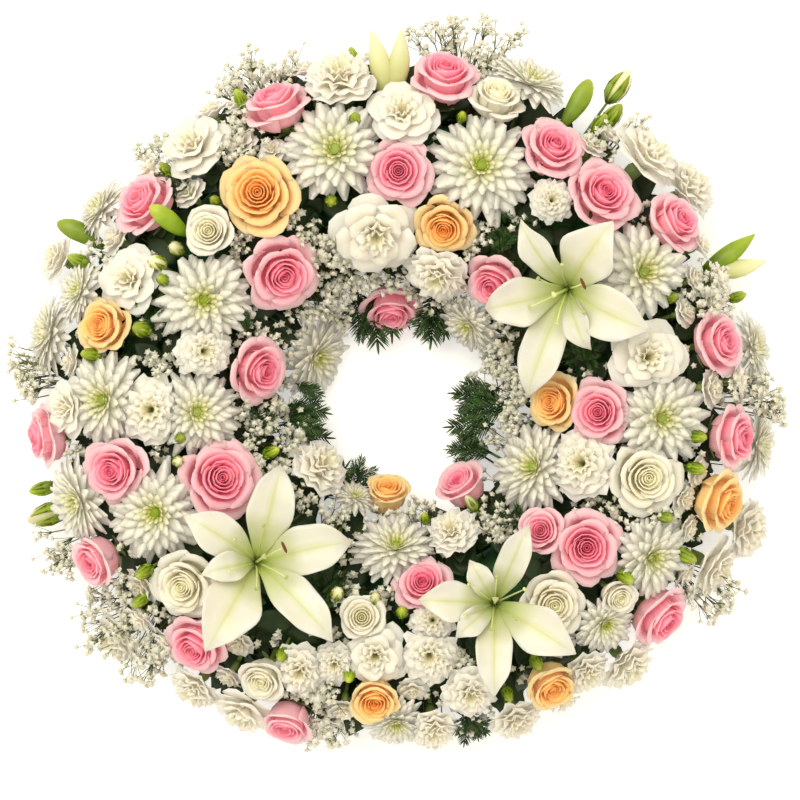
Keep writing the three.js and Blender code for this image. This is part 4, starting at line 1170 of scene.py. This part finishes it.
def breathBetween():
    # Single sprays low in every gap that the blooms leave
    parts = []
    for _ in range(betweenLook["groups"]):
        angle = draw(0, fullTurn)
        radius = draw(betweenLook["nearest"], betweenLook["furthest"])
        middle = outwardAt(angle) * radius + up * float(domeHeight(radius))
        middle = middle - up * draw(0, betweenLook["depth"])
        if inHead(middle, 0.93):
            continue
        foot = inFoam(middle)
        node = middle + unit(foot - middle) * betweenLook["branch"]
        bow = (foot + node) / 2 + randomDraw.normal(0, 1.5, 3)
        stem = tube([foot, bow, node], breathLook["branch"], 4, "threadStemSkin")
        florets = []
        for _ in range(int(randomDraw.integers(3, 7))):
            place = middle + randomDraw.normal(0, betweenLook["groupReach"], 3)
            outside = place[2] < betweenLook["least"] or np.linalg.norm(place[:2]) > betweenLook["furthest"]
            if outside or inHead(place, 0.8):
                continue
            facing = unit(up + randomDraw.normal(0, 0.5, 3))
            florets.extend(floretOn(node, place, facing, 1.1, [0.9, 0.2, 0.1], 0.5))
        if florets:
            parts.extend(florets + [stem])
    return parts


addPiece("babys_breath_between", breathBetween(), "white_flower")

# Buds between the blooms: x, y, width and green or cream
smallBuds = [(-262, 115, 17, "green"), (-195, 112, 20, "cream"), (-208, 58, 20, "green"), (220, -95, 16, "green"),
             (-190, 98, 15, "green"), (-33, 228, 17, "green"), (-250, 37, 17, "green"), (-176, -31, 14, "green"),
             (-178, -50, 14, "cream"), (-206, -141, 17, "green"), (-210, -165, 15, "green"), (62, -85, 14, "cream"),
             (247, -30, 16, "green"), (246, -56, 16, "green"), (238, -128, 18, "green"), (188, -145, 17, "green"),
             (115, -215, 15, "green"), (-93, -208, 15, "green"), (-38, -225, 15, "green"), (5, -173, 15, "green"),
             (-17, -162, 15, "cream"), (-48, -158, 17, "cream"), (-128, 248, 16, "green"), (168, 228, 16, "green")]
parts = []
for order, (x, y, across, colour) in enumerate(smallBuds):
    more = {"lift": 7, "lean": 8, "skin": colour + "BudSkin"}
    item = settle("small_buds", order, ("bud", x, y, across * 1.3, more))
    item["planes"] = planesOf(item)
    parts.extend(bodyOf(item))
addPiece("small_buds", parts, "bud")

leafLook = {
    "bed": 560, "bedDepth": (22, 40), "bedLength": (22, 38), "bedNearest": 108, "bedFurthest": 276,
    "tipNearest": 72, "tipFurthest": 300, "least": 6, "stem": 0.7,
    "outerSkirt": 170, "outerRadius": 234, "innerSkirt": 84, "innerRadius": 147, "skirtLength": (36, 56),
    "wall": 130, "wallOff": (41, 45), "wallLength": (26, 38),
}


def leafBed():
    # Leaves that lie along the dome below the blooms, each on a stem of its own
    parts = []
    for _ in range(leafLook["bed"]):
        out = outwardAt(draw(0, fullTurn))
        radius = draw(leafLook["bedNearest"], leafLook["bedFurthest"])
        slope = domeSlope(radius, 0.95)
        axis = out * math.sin(slope) + up * math.cos(slope)
        foot = out * radius + up * domeHeight(radius) - axis * draw(*leafLook["bedDepth"])
        heading = draw(0, fullTurn)
        direction = out * math.cos(heading) + np.cross(axis, out) * math.sin(heading)
        direction = unit(direction - axis * (direction @ axis)) + axis * draw(0.0, 0.5)
        length = draw(*leafLook["bedLength"])
        tip = foot + unit(direction) * length
        reach = math.hypot(tip[0], tip[1])
        if min(tip[2], foot[2]) < leafLook["least"] or not leafLook["tipNearest"] <= reach <= leafLook["tipFurthest"]:
            continue
        parts.append(laid(leaf, foot, direction, axis, length))
        parts.append(tube([inFoam(foot), foot + unit(direction) * 3], leafLook["stem"], 3, "broadLeafSkin"))
    return parts


def sideOf(out):
    return np.array([-out[1], out[0], 0.0])


def leafWall():
    # Leaves that lie flat against the outer side of the foam and hide it
    parts = []
    for k in range(leafLook["wall"]):
        out = outwardAt(spaced(k, leafLook["wall"], 0.4))
        foot = out * (ringRadius + draw(*leafLook["wallOff"])) + up * draw(24, 50)
        direction = sideOf(out) * draw(-1, 1) + up * draw(-0.25, 0.6) + out * 0.3
        length = draw(*leafLook["wallLength"])
        parts.append(laid(leaf, foot, direction, out + up * 0.2, length))
    return parts


def leafSkirt(count, radius, sign):
    # Leaves that stand out from the foot of the wreath, away from its ring outside and into its middle inside
    parts = []
    for k in range(count):
        out = outwardAt(spaced(k, count, 0.4))
        foot = out * (radius + draw(-4, 2)) + up * draw(20, 50)
        rise = draw(-0.05, 0.6)
        direction = out * sign + sideOf(out) * draw(-0.8, 0.8) + up * rise
        length = draw(*leafLook["skirtLength"])
        parts.append(laid(leaf, foot, direction, up + out * sign * 0.3, length))
    return parts


addPiece("leaf_bed", leafBed(), "leaf")
addPiece("leaf_skirt_outside", leafSkirt(leafLook["outerSkirt"], leafLook["outerRadius"], 1), "leaf")
addPiece("leaf_skirt_inside", leafSkirt(leafLook["innerSkirt"], leafLook["innerRadius"], -1), "leaf")
addPiece("leaf_wall", leafWall(), "leaf")

# Feathery sprigs that reach into the open middle and out of gaps: foot, tip, height of both
featherySprigs = [
    (-20, 92, -12, 38, 22, 30), (-4, 96, -2, 46, 20, 26), (34, 92, 27, 40, 24, 34), (46, 84, 40, 48, 22, 28),
    (-92, -4, -52, -12, 44, 44), (-92, -30, -50, -34, 36, 36), (-96, -14, -56, -24, 50, 52),
    (86, 4, 42, 2, 44, 44), (82, -20, 38, -22, 46, 46), (80, -44, 42, -40, 40, 38), (-46, -92, -28, -50, 30, 32),
    (-60, -84, -40, -48, 34, 38), (96, -6, 52, -10, 54, 56), (-32, 92, -30, 50, 26, 34), (-84, 14, -58, 2, 40, 40),
    (64, -60, 46, -50, 36, 40), (60, -262, 80, -282, 44, 36), (60, -262, 57, -290, 44, 34),
    (64, -260, 68, -288, 40, 30), (84, 122, 96, 146, 96, 108), (92, 120, 78, 142, 94, 108),
    (156, 30, 150, 56, 100, 112), (150, 34, 168, 50, 98, 110), (-46, -148, -60, -168, 100, 108),
    (-120, 56, -132, 78, 98, 110), (-262, 34, -276, 48, 60, 66), (-200, 74, -214, 92, 100, 112),
]
parts = []
for footX, footY, tipX, tipY, footZ, tipZ in featherySprigs:
    foot, reach = np.array([footX, footY, footZ], float), np.array([tipX - footX, tipY - footY, tipZ - footZ], float)
    for spread, share in ((-0.35, 0.82), (0.0, 1.0), (0.35, 0.82)):
        side = unit(np.cross(reach, up))
        aim = reach + side * np.linalg.norm(reach) * spread + randomDraw.normal(0, 2, 3)
        length = np.linalg.norm(reach) * share
        parts.append(laid(anySprig(), foot, aim, up, length / sprigLength))
addPiece("feathery_sprigs", parts, "leaf")
print("foliage placed")


def floralFoamMaterial():
    # Phenolic floral foam, soaked: a matt green crumb of fine open cells that looks darker where it is wet
    material, tree, shader, place = newMaterial("soakedFloralFoam")
    cells = addNode(tree, "ShaderNodeTexVoronoi", {"Scale": 700.0}, {"Vector": place}).outputs[0]  # 1.4 mm cells
    tint = ramp(tree, noise(tree, place, 25.0, 4.0), [(0.35, "#24532c"), (0.7, "#3f7a42")])
    paint(tree, shader, tint, cells, 0.6, 0.0008, {"Roughness": 0.95})
    return material


def trayMaterial():
    # Moulded polypropylene: dark green, satin, with a faint mould grain
    material, tree, shader, place = newMaterial("mouldedPolypropylene")
    tint = ramp(tree, noise(tree, place, 18.0), [(0.3, "#17331d"), (0.7, "#1f4126")])
    paint(tree, shader, tint, noise(tree, place, 1500.0), 0.15, 0.0002, {"Roughness": 0.38})
    return material


ringLook = {
    # distance from the ring's middle line and height, round the section
    "foam": [(-43.5, 3.2), (43.5, 3.2), (42.6, 40), (41, 46), (36, 51.5), (28, 57), (24, 58), (-24, 58), (-28, 57),
             (-36, 51.5), (-41, 46), (-42.6, 40)],
    "tray": [(-47, 0), (47, 0), (48.2, 0.8), (49.8, 15), (51.2, 15.4), (51.2, 16.6), (48.2, 16.8), (47.6, 15.6),
             (46, 2.6), (-46, 2.6), (-47.6, 15.6), (-48.2, 16.8), (-51.2, 16.6), (-51.2, 15.4), (-49.8, 15),
             (-48.2, 0.8)],
    "steps": 96,
}


def spunRing(name, section, material, node):
    # The section is drawn as a circle of points and spun round the wreath's middle
    bpy.ops.mesh.primitive_circle_add(vertices=len(section), fill_type="NOTHING")
    obj = bpy.context.object
    obj.name = name
    for vertex, (off, high) in zip(obj.data.vertices, section):
        vertex.co = ((ringRadius + off) / 1000, 0, high / 1000)
    bpy.ops.object.mode_set(mode="EDIT")
    bpy.ops.mesh.select_all(action="SELECT")
    bpy.ops.mesh.spin(steps=ringLook["steps"], angle=fullTurn, center=(0, 0, 0), axis=(0, 0, 1))
    bpy.ops.mesh.select_all(action="SELECT")
    bpy.ops.mesh.remove_doubles(threshold=0.00001)
    bpy.ops.mesh.normals_make_consistent(inside=False)
    bpy.ops.object.mode_set(mode="OBJECT")
    for vertex in obj.data.vertices:
        vertex.co.x += wreathMiddle[0]
        vertex.co.y += wreathMiddle[1]
    obj.data.materials.append(material)
    bpy.ops.object.shade_smooth_by_angle(angle=math.radians(35))
    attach(obj, "root")
    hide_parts(node)
    bpy.ops.object.select_all(action="DESELECT")


spunRing("dressed_foam", ringLook["foam"], floralFoamMaterial(), "foam_ring")
spunRing("dressed_tray", ringLook["tray"], trayMaterial(), "tray")

# Plain pale floor, soft light from above and a camera straight over the wreath
studio = {
    "floorSize": 14.0, "tableGlow": 0.45, "world": 0.86,
    "worldTint": (1.0, 0.935, 0.8, 1.0), "keyTint": (1.0, 0.945, 0.83), "key": 62.0, "keyPlace": (-0.9, 1.2, 2.9),
    "keySize": 2.0, "fill": 10.0, "fillPlace": (1.8, -1.2, 2.4), "fillSize": 3.0,
    "cameraHeight": 3.3, "frameWidth": 0.656, "bloomHeight": 0.1, "aside": 0.0033, "sensor": 36,
}
bpy.ops.mesh.primitive_plane_add(size=studio["floorSize"], location=(0, 0, 0))
floor = bpy.context.object
floor.name = "studio_floor"
floorSkin, tree, shader, place = newMaterial("paintedStudioFloor")
tint = ramp(tree, noise(tree, place, 3.0), [(0.3, "#fafaf9"), (0.7, "#fcfcfb")])
tree.links.new(tint, shader.inputs["Base Color"])
shader.inputs["Roughness"].default_value = 0.9
shader.inputs["Emission Color"].default_value = (1.0, 1.0, 1.0, 1.0)
shader.inputs["Emission Strength"].default_value = studio["tableGlow"]
floor.data.materials.append(floorSkin)

world = bpy.data.worlds.new("studio_light")
world.use_nodes = True
background = world.node_tree.nodes["Background"]
background.inputs["Color"].default_value = studio["worldTint"]
background.inputs["Strength"].default_value = studio["world"]
bpy.context.scene.world = world


def softLight(name, place, size, power):
    bpy.ops.object.light_add(type="AREA", location=place)
    lamp = bpy.context.object
    lamp.name = name
    lamp.data.size = size
    lamp.data.energy = power
    lamp.data.color = studio["keyTint"]
    lamp.visible_camera = False
    aim = Vector((0, 0, 0.05)) - lamp.location
    lamp.rotation_euler = aim.to_track_quat("-Z", "Y").to_euler()


softLight("key_light", studio["keyPlace"], studio["keySize"], studio["key"])
softLight("fill_light", studio["fillPlace"], studio["fillSize"], studio["fill"])

bpy.ops.object.camera_add(location=(wreathMiddle[0] + studio["aside"], wreathMiddle[1], studio["cameraHeight"]))
camera = bpy.context.object
camera.name = "photo_camera"
camera.rotation_euler = (0, 0, 0)
camera.data.sensor_width = studio["sensor"]
camera.data.lens = studio["sensor"] * (studio["cameraHeight"] - studio["bloomHeight"]) / studio["frameWidth"]
camera.data.clip_end = 50
bpy.context.scene.camera = camera
bpy.context.scene.view_settings.view_transform = "Standard"

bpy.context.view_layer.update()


print("camera, light and floor ready")
